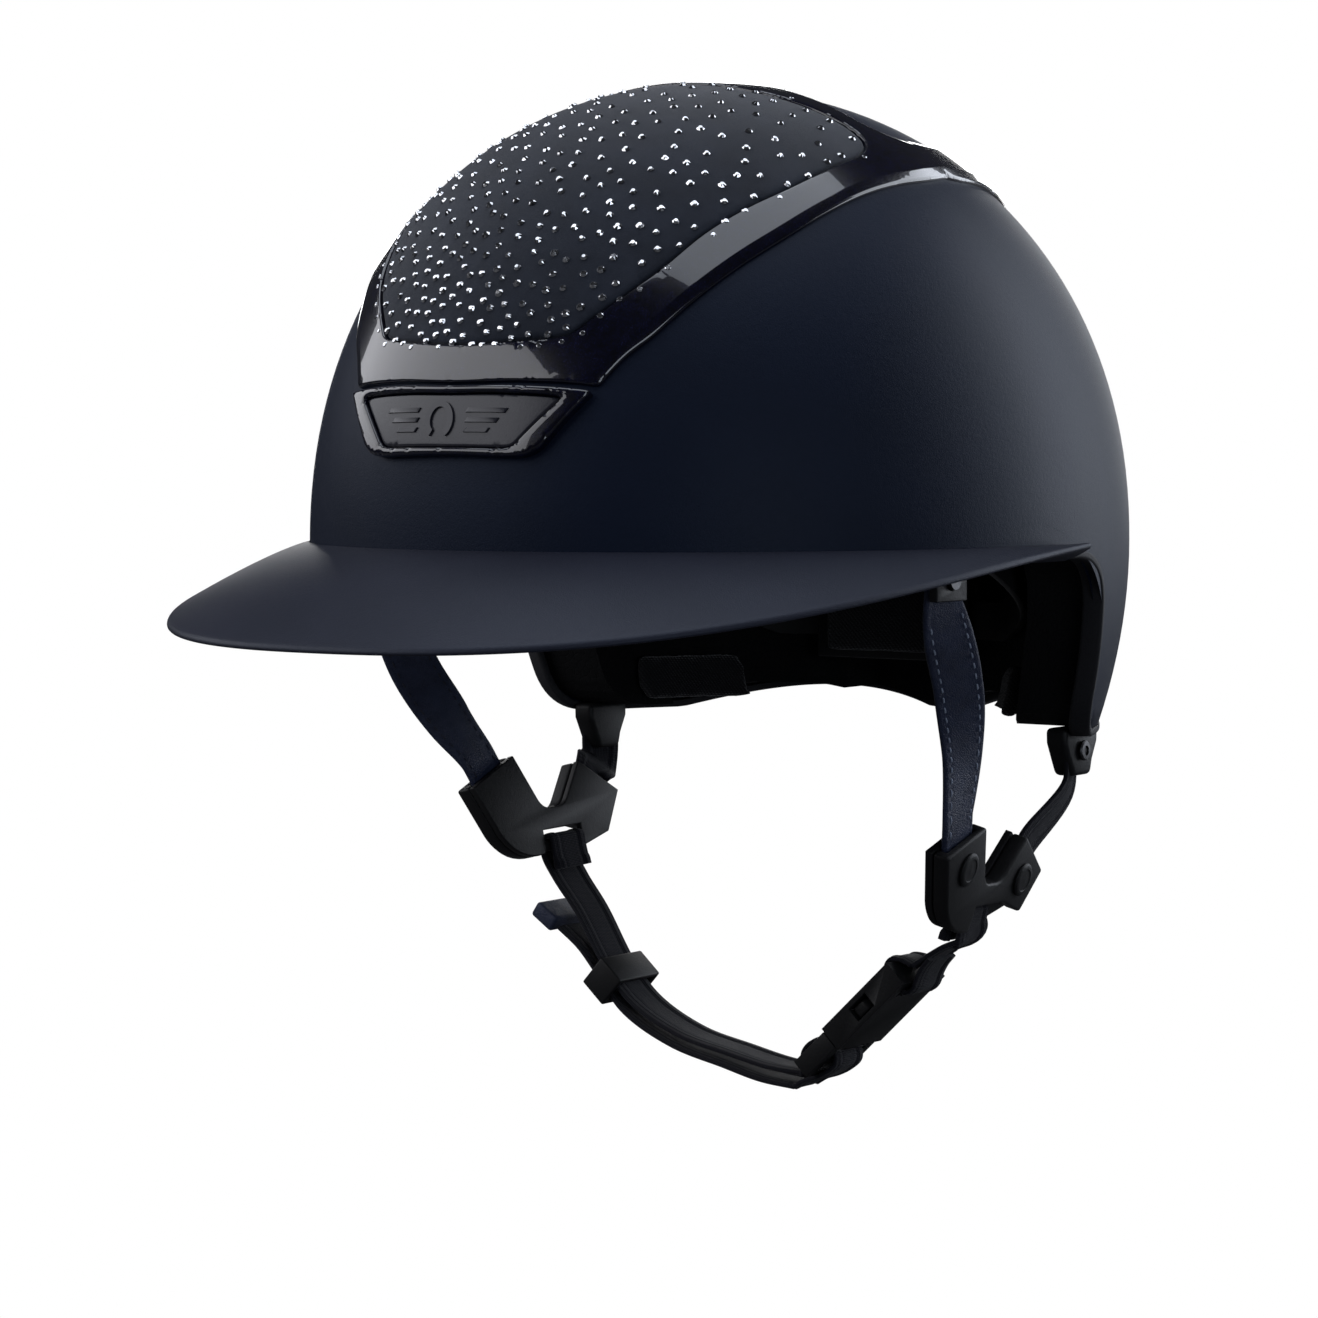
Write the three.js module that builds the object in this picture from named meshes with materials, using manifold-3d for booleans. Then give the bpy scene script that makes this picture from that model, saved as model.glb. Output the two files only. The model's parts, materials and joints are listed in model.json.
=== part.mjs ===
// Equestrian riding helmet with a long brim, a gloss crown frame and a four-point harness.
// Millimetres, +Z up. The brim points to -Y, the wearer's left is +X. The origin is the centre of the
// head cavity on the brow plane, where the shell is widest.

import * as THREE from 'three';
import { mergeVertices } from 'three/addons/utils/BufferGeometryUtils.js';
import Module from 'manifold-3d';

const wasm = await Module();
wasm.setup();

// ---------------------------------------------------------------- driving dimensions

const GAP = 0.3; // clearance between neighbouring pieces
const SHELL = { halfWidth: 112, front: 130, back: 154, height: 132.8 };
const CAVITY = { halfWidth: 88, front: 104, back: 124, height: 108 };
const PLAN_POWER = 1.95; // roundness of the plan outline
const CROWN_POWER = 2.12; // fullness of the crown
const SKIRT = { depth: 74, taper: 0.075, taperDepth: 55 }; // how the shell draws in below the brow plane
const DOME_COLUMNS = 36;
const DOME_ROWS = 9;
const ROUND_SIDES = 12;
const SHELL_WALL = 2.6;

const BRIM = { halfWidth: 120, tip: 183, endY: 10, power: 2.45, root: 4.6, lip: 1.9, rise: 1.6, ledge: 2.4 };
const FRAME_HEIGHT = 1.9; // how far the gloss frame stands off the shell
const PANEL_HEIGHT = 1.4;
const BEZEL_HEIGHT = 3.4;
const PLATE_HEIGHT = 2.2;
const EAR_DEPTH = -54; // how far the shell comes down behind the ears
const NAPE = { halfWidth: 80, archX: 40, arch: -39, lobe: -57 }; // arch is the control point of each curve
const TRIM = { drop: 2.6, depth: 6, startY: 12.5 };
const PAD_THICKNESS = 6;

const STRAP = { width: 15.4, rearWidth: 14, thickness: 2 };
const WEBBING = { width: 16, thickness: 1.6 };
const ANCHOR = { x: 97.3, y: -34, z: -7, rivet: 2.8 }; // where each front strap is riveted
const GUIDE = { x: 86, y: 61.5, top: -56.9, bottom: -68.4, length: 19, thickness: 7 };

// Where each divider hangs: the middle of its webbing slot, its lean about X, how it turns
// inwards and tips, and the y at which the front strap above it passes two heights on its way down.
const DIVIDER = {
  left: { x: 80, y: 18.5, z: -102, lean: -2, yaw: 4, roll: -15, strapUpperY: -14, strapLowerY: -7.5 },
  right: { x: -80, y: 27, z: -91.5, lean: 2, yaw: 4, roll: -13, strapUpperY: -25, strapLowerY: -11.5 },
};
const STRAP_UPPER = { z: -37, splay: 0.975 }; // heights of those places, and x as a share of the anchor's x
const STRAP_LOWER = { z: -55, splay: 0.945 };
const COVER = { outer: 3.4, inner: -1.6, channel: 1.0 };
const BACK_PLATE = { outer: -1.9, inner: -4.1 };
const BAR = { top: -3.6, bottom: -6.8 };
const SLOT = { front: -8.7, back: 9.4 }; // the divider's webbing slot
const STUD = { radius: 5, height: 1.3, inset: 9 };

const BUCKLE = { width: 25, thickness: 8, socket: 30, clip: 14, cavity: 19.2, cavityHeight: 4.8, slot: 17.4 };
const BUCKLE_START = new THREE.Vector3(29, 14, -154);
const BUCKLE_END = new THREE.Vector3(64, 16, -119.5);

const TEMPLE = { y: -6, z: 8, x: 83 }; // the cradle pivots here
const TEMPLE_PIN = { radius: 2.5, headRadius: 4.4, start: 74.6, neck: 76.2, end: 86.4 };
const BAND = { height: 12, thickness: 2, inset: 5 };
const DIAL = { y: 104, z: -26, radius: 13, depth: 8.4 };
const HOUSING = { width: 56, height: 26, depth: 8, channelHeight: 20.8, channelDepth: 4 };
const TAIL = { low: 4.3, high: 8.5, reach: 10 }; // each band's rack, beside the pinion
const PINION_RADIUS = 4;

// ---------------------------------------------------------------- colours and finishes

const FINISH = {
  shell: { color: 0x1c2230, roughness: 0.75, metalness: 0 },
  foam: { color: 0x0c0c0e, roughness: 0.95, metalness: 0 },
  brim: { color: 0x2a2d38, roughness: 0.6, metalness: 0 },
  gloss: { color: 0x0e0e26, roughness: 0.08, metalness: 0 },
  suede: { color: 0x1e2634, roughness: 0.95, metalness: 0 },
  plate: { color: 0x3a3c4c, roughness: 0.35, metalness: 0 },
  trim: { color: 0x222226, roughness: 0.7, metalness: 0 },
  leather: { color: 0x222c46, roughness: 0.6, metalness: 0 },
  webbing: { color: 0x262636, roughness: 0.85, metalness: 0 },
  plastic: { color: 0x2a2a2c, roughness: 0.55, metalness: 0 },
  steel: { color: 0x55565a, roughness: 0.35, metalness: 1 },
  fabric: { color: 0x0a0a0c, roughness: 0.95, metalness: 0 },
};

// ---------------------------------------------------------------- solids and booleans

function signedVolume(position, index) {
  const a = new THREE.Vector3();
  const b = new THREE.Vector3();
  const c = new THREE.Vector3();
  let volume = 0;
  for (let i = 0; i < index.length; i += 3) {
    a.fromBufferAttribute(position, index[i]);
    b.fromBufferAttribute(position, index[i + 1]);
    c.fromBufferAttribute(position, index[i + 2]);
    volume += a.dot(b.cross(c)) / 6;
  }
  return volume;
}

function solid(geometry) {
  const bare = geometry.clone();
  bare.deleteAttribute('normal');
  bare.deleteAttribute('uv');
  const merged = mergeVertices(bare, 1e-4);
  const position = merged.attributes.position;
  const index = Array.from(merged.index.array);
  if (signedVolume(position, index) < 0) index.reverse();
  return new wasm.Manifold(
    new wasm.Mesh({
      numProp: 3,
      vertProperties: new Float32Array(position.array),
      triVerts: new Uint32Array(index),
    }),
  );
}

function geometryOf(body) {
  const mesh = body.getMesh();
  const geometry = new THREE.BufferGeometry();
  geometry.setAttribute('position', new THREE.BufferAttribute(mesh.vertProperties, mesh.numProp));
  geometry.setIndex(new THREE.BufferAttribute(mesh.triVerts, 1));
  geometry.computeVertexNormals();
  return geometry;
}

function join(bodies) {
  return bodies.reduce((sum, body) => sum.add(body));
}

function shapeOf(points) {
  return new THREE.Shape(points.map(([x, y]) => new THREE.Vector2(x, y)));
}

function slab(shape, low, high, curveSegments = 5) {
  const geometry = new THREE.ExtrudeGeometry(shape, { depth: high - low, bevelEnabled: false, curveSegments });
  return geometry.translate(0, 0, low);
}

function block(x0, x1, y0, y1, z0, z1) {
  const geometry = new THREE.BoxGeometry(x1 - x0, y1 - y0, z1 - z0);
  return solid(geometry.translate((x0 + x1) / 2, (y0 + y1) / 2, (z0 + z1) / 2));
}

function drumX(radius, x0, x1, y, z, sides = ROUND_SIDES) {
  const geometry = new THREE.CylinderGeometry(radius, radius, Math.abs(x1 - x0), sides);
  return solid(geometry.rotateZ(Math.PI / 2).translate((x0 + x1) / 2, y, z));
}

function drumY(radius, y0, y1, x, z, sides = ROUND_SIDES) {
  const geometry = new THREE.CylinderGeometry(radius, radius, Math.abs(y1 - y0), sides);
  return solid(geometry.translate(x, (y0 + y1) / 2, z));
}

// A closed solid through a row of rings with the same number of points; `caps` triangulates the end rings.
function loft(rings, caps) {
  const count = rings[0].length;
  const positions = rings.flat().flatMap((point) => [point.x, point.y, point.z]);
  const index = [];
  for (let ring = 0; ring < rings.length - 1; ring += 1) {
    for (let i = 0; i < count; i += 1) {
      const next = (i + 1) % count;
      const a = ring * count + i;
      const b = ring * count + next;
      index.push(a, b, b + count, a, b + count, a + count);
    }
  }
  const last = (rings.length - 1) * count;
  for (const [a, b, c] of caps ?? fanCaps(count)) {
    index.push(c, b, a, last + a, last + b, last + c);
  }
  const geometry = new THREE.BufferGeometry();
  geometry.setAttribute('position', new THREE.Float32BufferAttribute(positions, 3));
  geometry.setIndex(index);
  return geometry;
}

function fanCaps(count) {
  return Array.from({ length: count - 2 }, (_, i) => [0, i + 1, i + 2]);
}

// Triangles over a flat outline, turned the same way round as the outline itself.
function outlineCaps(flat) {
  const turn = Math.sign(THREE.ShapeUtils.area(flat));
  return THREE.ShapeUtils.triangulateShape(flat, []).map(([a, b, c]) => {
    const area = THREE.ShapeUtils.area([flat[a], flat[b], flat[c]]);
    return Math.sign(area) === turn ? [a, b, c] : [c, b, a];
  });
}

// ---------------------------------------------------------------- the dome

function planDirection(bearing) {
  const across = Math.abs(Math.sin(bearing)) ** PLAN_POWER;
  const along = Math.abs(Math.cos(bearing)) ** PLAN_POWER;
  const radius = (across + along) ** (-1 / PLAN_POWER);
  return { x: radius * Math.sin(bearing), y: -radius * Math.cos(bearing) };
}

function taper(z) {
  return 1 - SKIRT.taper * (z / SKIRT.taperDepth) ** 2;
}

// A point of the plan outline; the bearing is 0 at the front and a quarter turn at the wearer's left.
function planPoint(size, bearing, offset = 0, scale = 1) {
  const direction = planDirection(bearing);
  const reach = direction.y < 0 ? size.front : size.back;
  return {
    x: (size.halfWidth + offset) * direction.x * scale,
    y: (reach + offset) * direction.y * scale,
  };
}

function domeRing(size, offset, z, scale) {
  return Array.from({ length: DOME_COLUMNS }, (_, i) => {
    const point = planPoint(size, (i / DOME_COLUMNS) * Math.PI * 2, offset, scale);
    return new THREE.Vector3(point.x, point.y, z);
  });
}

function dome(size, offset) {
  const rings = [];
  for (const z of [-SKIRT.depth, -SKIRT.depth * 0.62, -SKIRT.depth * 0.3]) {
    rings.push(domeRing(size, offset, z, taper(z)));
  }
  for (let row = 0; row < DOME_ROWS; row += 1) {
    const angle = (row / DOME_ROWS) * Math.PI * 0.5;
    const scale = Math.cos(angle) ** (2 / CROWN_POWER);
    rings.push(domeRing(size, offset, (size.height + offset) * Math.sin(angle) ** (2 / CROWN_POWER), scale));
  }
  rings.push(domeRing(size, offset, (size.height + offset) * 0.9995, 0.03));
  return solid(loft(rings));
}

// The dome surface as a height over the plan, or as a distance along a direction from the centre.
function surfaceLevel(x, y, z) {
  const reach = y < 0 ? SHELL.front : SHELL.back;
  const plan = (Math.abs(x) / SHELL.halfWidth) ** PLAN_POWER + (Math.abs(y) / reach) ** PLAN_POWER;
  return plan ** (CROWN_POWER / PLAN_POWER) + (Math.max(z, 0) / SHELL.height) ** CROWN_POWER;
}

function onDome(bearingDegrees, riseDegrees) {
  const bearing = THREE.MathUtils.degToRad(bearingDegrees);
  const rise = THREE.MathUtils.degToRad(riseDegrees);
  const x = Math.sin(bearing) * Math.cos(rise);
  const y = -Math.cos(bearing) * Math.cos(rise);
  const z = Math.sin(rise);
  const reach = surfaceLevel(x, y, z) ** (-1 / CROWN_POWER);
  return new THREE.Vector3(x, y, z).multiplyScalar(reach);
}

function onCrown(x, y) {
  const plan = surfaceLevel(x, y, 0);
  return new THREE.Vector3(x, y, SHELL.height * (1 - plan) ** (1 / CROWN_POWER));
}

// A wedge from deep inside the dome to far outside it, whose sides follow an outline drawn on the dome.
function wedge(outline) {
  const middle = outline.reduce((sum, point) => sum.add(point), new THREE.Vector3()).normalize();
  const right = new THREE.Vector3(1, 0, 0).addScaledVector(middle, -middle.x).normalize();
  const up = new THREE.Vector3().crossVectors(middle, right);
  const flat = outline.map((point) => {
    const depth = point.dot(middle);
    return new THREE.Vector2(point.dot(right) / depth, point.dot(up) / depth);
  });
  const caps = outlineCaps(flat);
  const inner = outline.map((point) => point.clone().multiplyScalar(0.45));
  const outer = outline.map((point) => point.clone().multiplyScalar(1.6));
  return solid(loft([inner, outer], caps));
}

function mirrored(half) {
  const other = half.map((point) => new THREE.Vector3(-point.x, point.y, point.z)).reverse();
  const onMiddle = (point) => Math.abs(point.x) < 1e-6;
  return [...half, ...other.filter((point) => !onMiddle(point))];
}

// The same outline a little larger, for the opening around a piece.
function grown(outline, clearance) {
  const middle = outline.reduce((sum, point) => sum.add(point), new THREE.Vector3()).divideScalar(outline.length);
  return outline.map((point) => {
    const outward = point.clone().sub(middle);
    return point.clone().addScaledVector(outward.normalize(), clearance);
  });
}

function skin(low, high, outline) {
  return dome(SHELL, high).subtract(dome(SHELL, low)).intersect(outline);
}

// ---------------------------------------------------------------- shell, liner, trim and brim

// Side view of what the shell and liner keep: flat over the brim, arched over the ear, deep at the back.
function keptSide(drop) {
  const side = new THREE.Shape();
  side.moveTo(-220, 220);
  side.lineTo(-220, -drop);
  side.lineTo(18 - drop / 2, -drop);
  side.quadraticCurveTo(40 - drop, -drop, 43.5 - drop, -16);
  side.lineTo(48 - drop, -42);
  side.quadraticCurveTo(50 - drop, EAR_DEPTH - drop, 62, EAR_DEPTH - drop);
  side.lineTo(220, EAR_DEPTH - drop);
  side.lineTo(220, 220);
  const across = new THREE.Matrix4().makeBasis(
    new THREE.Vector3(0, 1, 0),
    new THREE.Vector3(0, 0, 1),
    new THREE.Vector3(1, 0, 0),
  );
  return solid(slab(side, -200, 200, 5).applyMatrix4(across)).subtract(napeArches(drop));
}

// The two shallow arches of the lower back edge, either side of a lobe in the middle.
function napeArches(drop) {
  const outline = new THREE.Shape();
  outline.moveTo(-NAPE.halfWidth, -100);
  outline.lineTo(-NAPE.halfWidth, EAR_DEPTH - 1 - drop);
  outline.quadraticCurveTo(-NAPE.archX, NAPE.arch - drop, 0, NAPE.lobe - drop);
  outline.quadraticCurveTo(NAPE.archX, NAPE.arch - drop, NAPE.halfWidth, EAR_DEPTH - 1 - drop);
  outline.lineTo(NAPE.halfWidth, -100);
  const upright = new THREE.Matrix4().makeBasis(
    new THREE.Vector3(1, 0, 0),
    new THREE.Vector3(0, 0, 1),
    new THREE.Vector3(0, -1, 0),
  );
  return solid(slab(outline, -220, -70, 5).applyMatrix4(upright));
}

const kept = keptSide(0);

function outerShell() {
  return dome(SHELL, 0).subtract(dome(SHELL, -SHELL_WALL)).intersect(kept);
}

const CROWN_SEAT = { z: 103, halfWidth: 26, front: -22, back: 32 };

function impactLiner() {
  const foam = dome(SHELL, -SHELL_WALL - GAP).subtract(dome(CAVITY, 0)).intersect(kept);
  const crown = block(-CROWN_SEAT.halfWidth, CROWN_SEAT.halfWidth, CROWN_SEAT.front, CROWN_SEAT.back, 60, CROWN_SEAT.z);
  const flat = block(
    -CROWN_SEAT.halfWidth, CROWN_SEAT.halfWidth, CROWN_SEAT.front, CROWN_SEAT.back, CROWN_SEAT.z, 116,
  );
  const dialPocket = block(-24, 24, 90, 131, -80, -2);
  return foam.add(flat).subtract(crown).subtract(dialPocket);
}

function edgeTrim() {
  const band = dome(SHELL, GAP).subtract(dome(SHELL, -TRIM.depth));
  const edge = keptSide(TRIM.drop).subtract(keptSide(GAP));
  const behindBrim = block(-200, 200, TRIM.startY, 200, -100, 20);
  return band.intersect(edge).intersect(behindBrim);
}

function brimLip(angle) {
  const across = Math.abs(Math.cos(angle)) ** BRIM.power;
  const along = Math.abs(Math.sin(angle)) ** BRIM.power;
  const radius = (across + along) ** (-1 / BRIM.power);
  const x = BRIM.halfWidth * radius * Math.cos(angle);
  const y = BRIM.endY - (BRIM.tip + BRIM.endY) * radius * Math.sin(angle);
  const forward = (BRIM.endY - y) / (BRIM.tip + BRIM.endY);
  const z = 2.4 - forward * (16.2 + forward * (20.9 - 12.9 * forward));
  return new THREE.Vector3(x, y, z);
}

// One cross-section of the brim, from the shell outwards and back underneath, with a ledge under the shell.
function brimSection(angle) {
  const lip = brimLip(angle);
  const bearing = Math.atan2(lip.x / SHELL.halfWidth, -lip.y / (lip.y < 0 ? SHELL.front : SHELL.back));
  const root = planPoint(SHELL, bearing, GAP);
  const inside = planPoint(SHELL, bearing, -BRIM.ledge);
  const steps = 4;
  const top = [];
  const bottom = [];
  for (let i = 0; i <= steps; i += 1) {
    const part = i / steps;
    const x = THREE.MathUtils.lerp(root.x, lip.x, part);
    const y = THREE.MathUtils.lerp(root.y, lip.y, part);
    const z = BRIM.rise + (lip.z - BRIM.rise) * part ** 1.25;
    const thickness = THREE.MathUtils.lerp(BRIM.root, BRIM.lip, part);
    top.push(new THREE.Vector3(x, y, z));
    bottom.unshift(new THREE.Vector3(x, y, z - thickness));
  }
  const floor = BRIM.rise - BRIM.root;
  const ledge = [
    new THREE.Vector3(inside.x, inside.y, floor),
    new THREE.Vector3(inside.x, inside.y, -GAP),
    new THREE.Vector3(root.x, root.y, -GAP),
  ];
  return [...top, ...bottom, ...ledge];
}

function brim() {
  const sections = 32;
  const rings = [];
  for (let i = 0; i <= sections; i += 1) {
    rings.push(brimSection((i / sections) * Math.PI));
  }
  const flat = rings[0].map((point) => new THREE.Vector2(point.x, point.z));
  return solid(loft(rings, outlineCaps(flat)));
}

// ---------------------------------------------------------------- gloss frame, crown panel and badge

const PANEL_OUTLINE = mirrored([
  onDome(0, 25.1), onDome(11.8, 25.9), onDome(15.5, 26.6), onDome(22, 32.1), onDome(26.5, 35.8), onDome(32.3, 41.1),
  onCrown(57, -70), onCrown(61.5, -56), onCrown(64, -39), onCrown(64.3, -24), onCrown(61.5, -17), onCrown(57, -15),
  onCrown(46, -16), onCrown(34, -19), onCrown(23, -21), onCrown(0, -22),
]);

const FRAME_OUTLINE = mirrored([
  onDome(0, 20.3), onDome(10, 20.6), onDome(19.6, 20.3), onDome(22.6, 23.9), onDome(26, 26.8), onDome(30.3, 30.9),
  onDome(38.5, 37.4), onDome(45.8, 41.9), onDome(54, 46.3), onCrown(73, -34), onCrown(74, -20), onCrown(74, -4),
  onCrown(71, 16), onCrown(59, 14), onCrown(59, 5), onCrown(54, -3), onCrown(44, -4), onCrown(34, -4), onCrown(0, -5),
]);

// The stripe that runs back from each rear corner of the frame to the vent.
function tailOutline(side) {
  const inner = [onCrown(59, 8), onCrown(58, 20), onCrown(51, 42), onCrown(38, 70), onCrown(24, 94), onCrown(14, 110)];
  const outer = [onCrown(28, 117), onCrown(43, 96), onCrown(57, 70), onCrown(66, 42), onCrown(71, 20), onCrown(72, 8)];
  return [...inner, ...outer].map((point) => new THREE.Vector3(point.x * side, point.y, point.z));
}

const VENT_FRAME_OUTLINE = mirrored([
  onCrown(0, 107), onCrown(16, 107), onCrown(29, 114), onDome(162, 30), onDome(168, 24), onDome(180, 23),
]);
const VENT_OUTLINE = mirrored([
  onDome(180, 37.5), onDome(171, 37.5), onDome(167, 34), onDome(171.5, 27.5), onDome(180, 26.8),
]);
const BEZEL_OUTLINE = mirrored([
  onDome(0, 19.8), onDome(10, 19.9), onDome(19.2, 19.5), onDome(13.2, 12.6), onDome(11.3, 11.7), onDome(0, 11.7),
]);
const PLATE_OUTLINE = mirrored([
  onDome(0, 18.8), onDome(8, 18.9), onDome(15.4, 18.6), onDome(9.8, 12.9), onDome(8.6, 12.7), onDome(0, 12.7),
]);

function glossFrame() {
  const outline = join([
    wedge(FRAME_OUTLINE), wedge(tailOutline(1)), wedge(tailOutline(-1)), wedge(VENT_FRAME_OUTLINE),
  ]);
  return skin(GAP, FRAME_HEIGHT, outline)
    .subtract(wedge(grown(PANEL_OUTLINE, 0.6)))
    .subtract(wedge(grown(VENT_OUTLINE, 0.5)));
}

function crownPanel() {
  return skin(GAP, PANEL_HEIGHT, wedge(PANEL_OUTLINE));
}

function ventGrille() {
  const slots = [-1, 0, 1].map((row) => block(-13, 13, 90, 200, 80 + row * 6 - 1.3, 80 + row * 6 + 1.3));
  return skin(GAP, PANEL_HEIGHT, wedge(VENT_OUTLINE)).subtract(join(slots));
}

function badgeBezel() {
  return skin(GAP, BEZEL_HEIGHT, wedge(BEZEL_OUTLINE)).subtract(wedge(grown(PLATE_OUTLINE, 0.55)));
}

function badgePlate() {
  return skin(GAP, PLATE_HEIGHT, wedge(PLATE_OUTLINE));
}

// ---------------------------------------------------------------- comfort pads

function lining(region) {
  return dome(CAVITY, -GAP - 0.1).subtract(dome(CAVITY, -GAP - 0.1 - PAD_THICKNESS)).intersect(region);
}

function foreheadPad() {
  return lining(block(-66, 66, -140, -30, 5, 34));
}

function crownPad() {
  return block(-23, 23, -19, 29, CROWN_SEAT.z - GAP - 4, CROWN_SEAT.z - GAP);
}

function sidePad(side) {
  return lining(block(Math.min(20 * side, 120 * side), Math.max(20 * side, 120 * side), 14, 78, 15, 46));
}

function earPad(side) {
  return lining(block(Math.min(20 * side, 120 * side), Math.max(20 * side, 120 * side), 57, 90, -53, -38));
}

// ---------------------------------------------------------------- straps

// A flat strap through the given points; between two shares of the way its width turns to a new direction.
function strapAlong(points, startAcross, endAcross, turn, width, thickness, stepsPerPoint) {
  const path = new THREE.CatmullRomCurve3(points, false, 'centripetal');
  const steps = (points.length - 1) * stepsPerPoint;
  const rings = [];
  for (let i = 0; i <= steps; i += 1) {
    const part = i / steps;
    const centre = path.getPoint(part);
    const along = path.getTangent(part);
    const across = startAcross.clone().lerp(endAcross, THREE.MathUtils.smoothstep(part, turn.from, turn.to));
    across.addScaledVector(along, -across.dot(along)).normalize();
    const out = new THREE.Vector3().crossVectors(along, across);
    const half = (typeof width === 'function' ? width(part) : width) / 2;
    rings.push([[-1, -1], [1, -1], [1, 1], [-1, 1]].map(([a, b]) => centre.clone()
      .addScaledVector(across, a * half)
      .addScaledVector(out, (b * thickness) / 2)));
  }
  return loft(rings);
}

function dividerPlacement(side) {
  const place = DIVIDER[side];
  const mirror = side === 'left' ? 1 : -1;
  const turn = new THREE.Euler(
    THREE.MathUtils.degToRad(place.lean),
    THREE.MathUtils.degToRad(-place.roll * mirror),
    THREE.MathUtils.degToRad(place.yaw * mirror),
    'ZYX',
  );
  return new THREE.Matrix4().makeRotationFromEuler(turn).setPosition(place.x, place.y, place.z);
}

// From the divider's own axes (back, up, outwards) to the world.
function dividerPoint(side, back, up, out) {
  const mirror = side === 'left' ? 1 : -1;
  return new THREE.Vector3(out * mirror, back, up).applyMatrix4(dividerPlacement(side));
}

function dividerDirection(side, back, up) {
  return new THREE.Vector3(0, back, up).transformDirection(dividerPlacement(side));
}

const FRONT_ARM = { back: -26, up: 20.4, lean: 26, depth: 17 }; // the open end of each arm and its lean
const REAR_ARM = { back: 22.3, up: 14, lean: -34, depth: 13 };
const CHANNEL_MIDDLE = (COVER.channel + BACK_PLATE.outer) / 2;

function armPoint(side, arm, distance) {
  const lean = THREE.MathUtils.degToRad(arm.lean);
  return dividerPoint(
    side, arm.back - Math.sin(lean) * -distance, arm.up - Math.cos(lean) * distance, CHANNEL_MIDDLE,
  );
}

function armAcross(side, arm) {
  const lean = THREE.MathUtils.degToRad(arm.lean);
  return dividerDirection(side, Math.cos(lean), Math.sin(lean));
}

function frontStrap(side) {
  const mirror = side === 'left' ? 1 : -1;
  const x = ANCHOR.x * mirror;
  const points = [
    new THREE.Vector3(x, ANCHOR.y - 0.8, ANCHOR.z + 5.4),
    new THREE.Vector3(x, ANCHOR.y + 1.5, ANCHOR.z - 8),
    new THREE.Vector3(x * STRAP_UPPER.splay, DIVIDER[side].strapUpperY, STRAP_UPPER.z),
    new THREE.Vector3(x * STRAP_LOWER.splay, DIVIDER[side].strapLowerY, STRAP_LOWER.z),
    armPoint(side, FRONT_ARM, -7),
    armPoint(side, FRONT_ARM, -1),
    armPoint(side, FRONT_ARM, 6),
    armPoint(side, FRONT_ARM, FRONT_ARM.depth - 1),
  ];
  const width = (part) => THREE.MathUtils.lerp(11, STRAP.width, Math.min(part / 0.2, 1));
  const strip = strapAlong(
    points, new THREE.Vector3(0, 1, 0.2), armAcross(side, FRONT_ARM), { from: 0, to: 0.6 },
    width, STRAP.thickness, 3,
  );
  return solid(strip).subtract(drumX(ANCHOR.rivet + 0.4, x - 6, x + 6, ANCHOR.y, ANCHOR.z));
}

function rearStrap(side) {
  const mirror = side === 'left' ? 1 : -1;
  const points = [
    new THREE.Vector3((GUIDE.x - 0.5) * mirror, GUIDE.y - 1, GUIDE.bottom - 6),
    armPoint(side, REAR_ARM, -3.5),
    armPoint(side, REAR_ARM, 0),
    armPoint(side, REAR_ARM, 6),
    armPoint(side, REAR_ARM, REAR_ARM.depth - 1),
  ];
  const start = new THREE.Vector3(-0.36 * mirror, 0.66, -0.66);
  const turn = { from: 0, to: 0.4 };
  return solid(strapAlong(points, start, armAcross(side, REAR_ARM), turn, STRAP.rearWidth, STRAP.thickness, 3));
}

// ---------------------------------------------------------------- front anchors and rear guides

function frontAnchor(side) {
  const tab = block(98.7, 101.2, ANCHOR.y - 8, ANCHOR.y + 8, -13, -GAP);
  const flange = block(98.7, 102.6, ANCHOR.y - 8, ANCHOR.y + 8, -2.8, -GAP);
  const hole = drumX(ANCHOR.rivet + 0.3, 90, 110, ANCHOR.y, ANCHOR.z);
  return reflect(tab.add(flange).subtract(hole), side);
}

function frontRivet(side) {
  const head = drumX(4.8, 94, 95.4, ANCHOR.y, ANCHOR.z);
  const shank = drumX(ANCHOR.rivet, 95, 102.4, ANCHOR.y, ANCHOR.z);
  return reflect(head.add(shank), side);
}

function rearGuide(side) {
  const front = GUIDE.y - GUIDE.length / 2;
  const back = GUIDE.y + GUIDE.length / 2;
  const outline = shapeOf([
    [front, GUIDE.top], [back, GUIDE.top], [back - 1, GUIDE.top - 5], [back - 4, GUIDE.bottom],
    [front + 5, GUIDE.bottom], [front + 1, GUIDE.top - 5],
  ]);
  const across = new THREE.Matrix4().makeBasis(
    new THREE.Vector3(0, 1, 0), new THREE.Vector3(0, 0, 1), new THREE.Vector3(1, 0, 0),
  );
  const low = GUIDE.x - GUIDE.thickness / 2;
  const body = solid(slab(outline, low, low + GUIDE.thickness).applyMatrix4(across));
  return reflect(body, side);
}

function guideScrew(side) {
  const outer = GUIDE.x + GUIDE.thickness / 2 + GAP;
  return reflect(drumX(3, outer, outer + 1.4, GUIDE.y, GUIDE.top - 4), side);
}

function reflect(body, side) {
  return side === 'left' ? body : body.mirror([1, 0, 0]);
}

// ---------------------------------------------------------------- strap dividers

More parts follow.
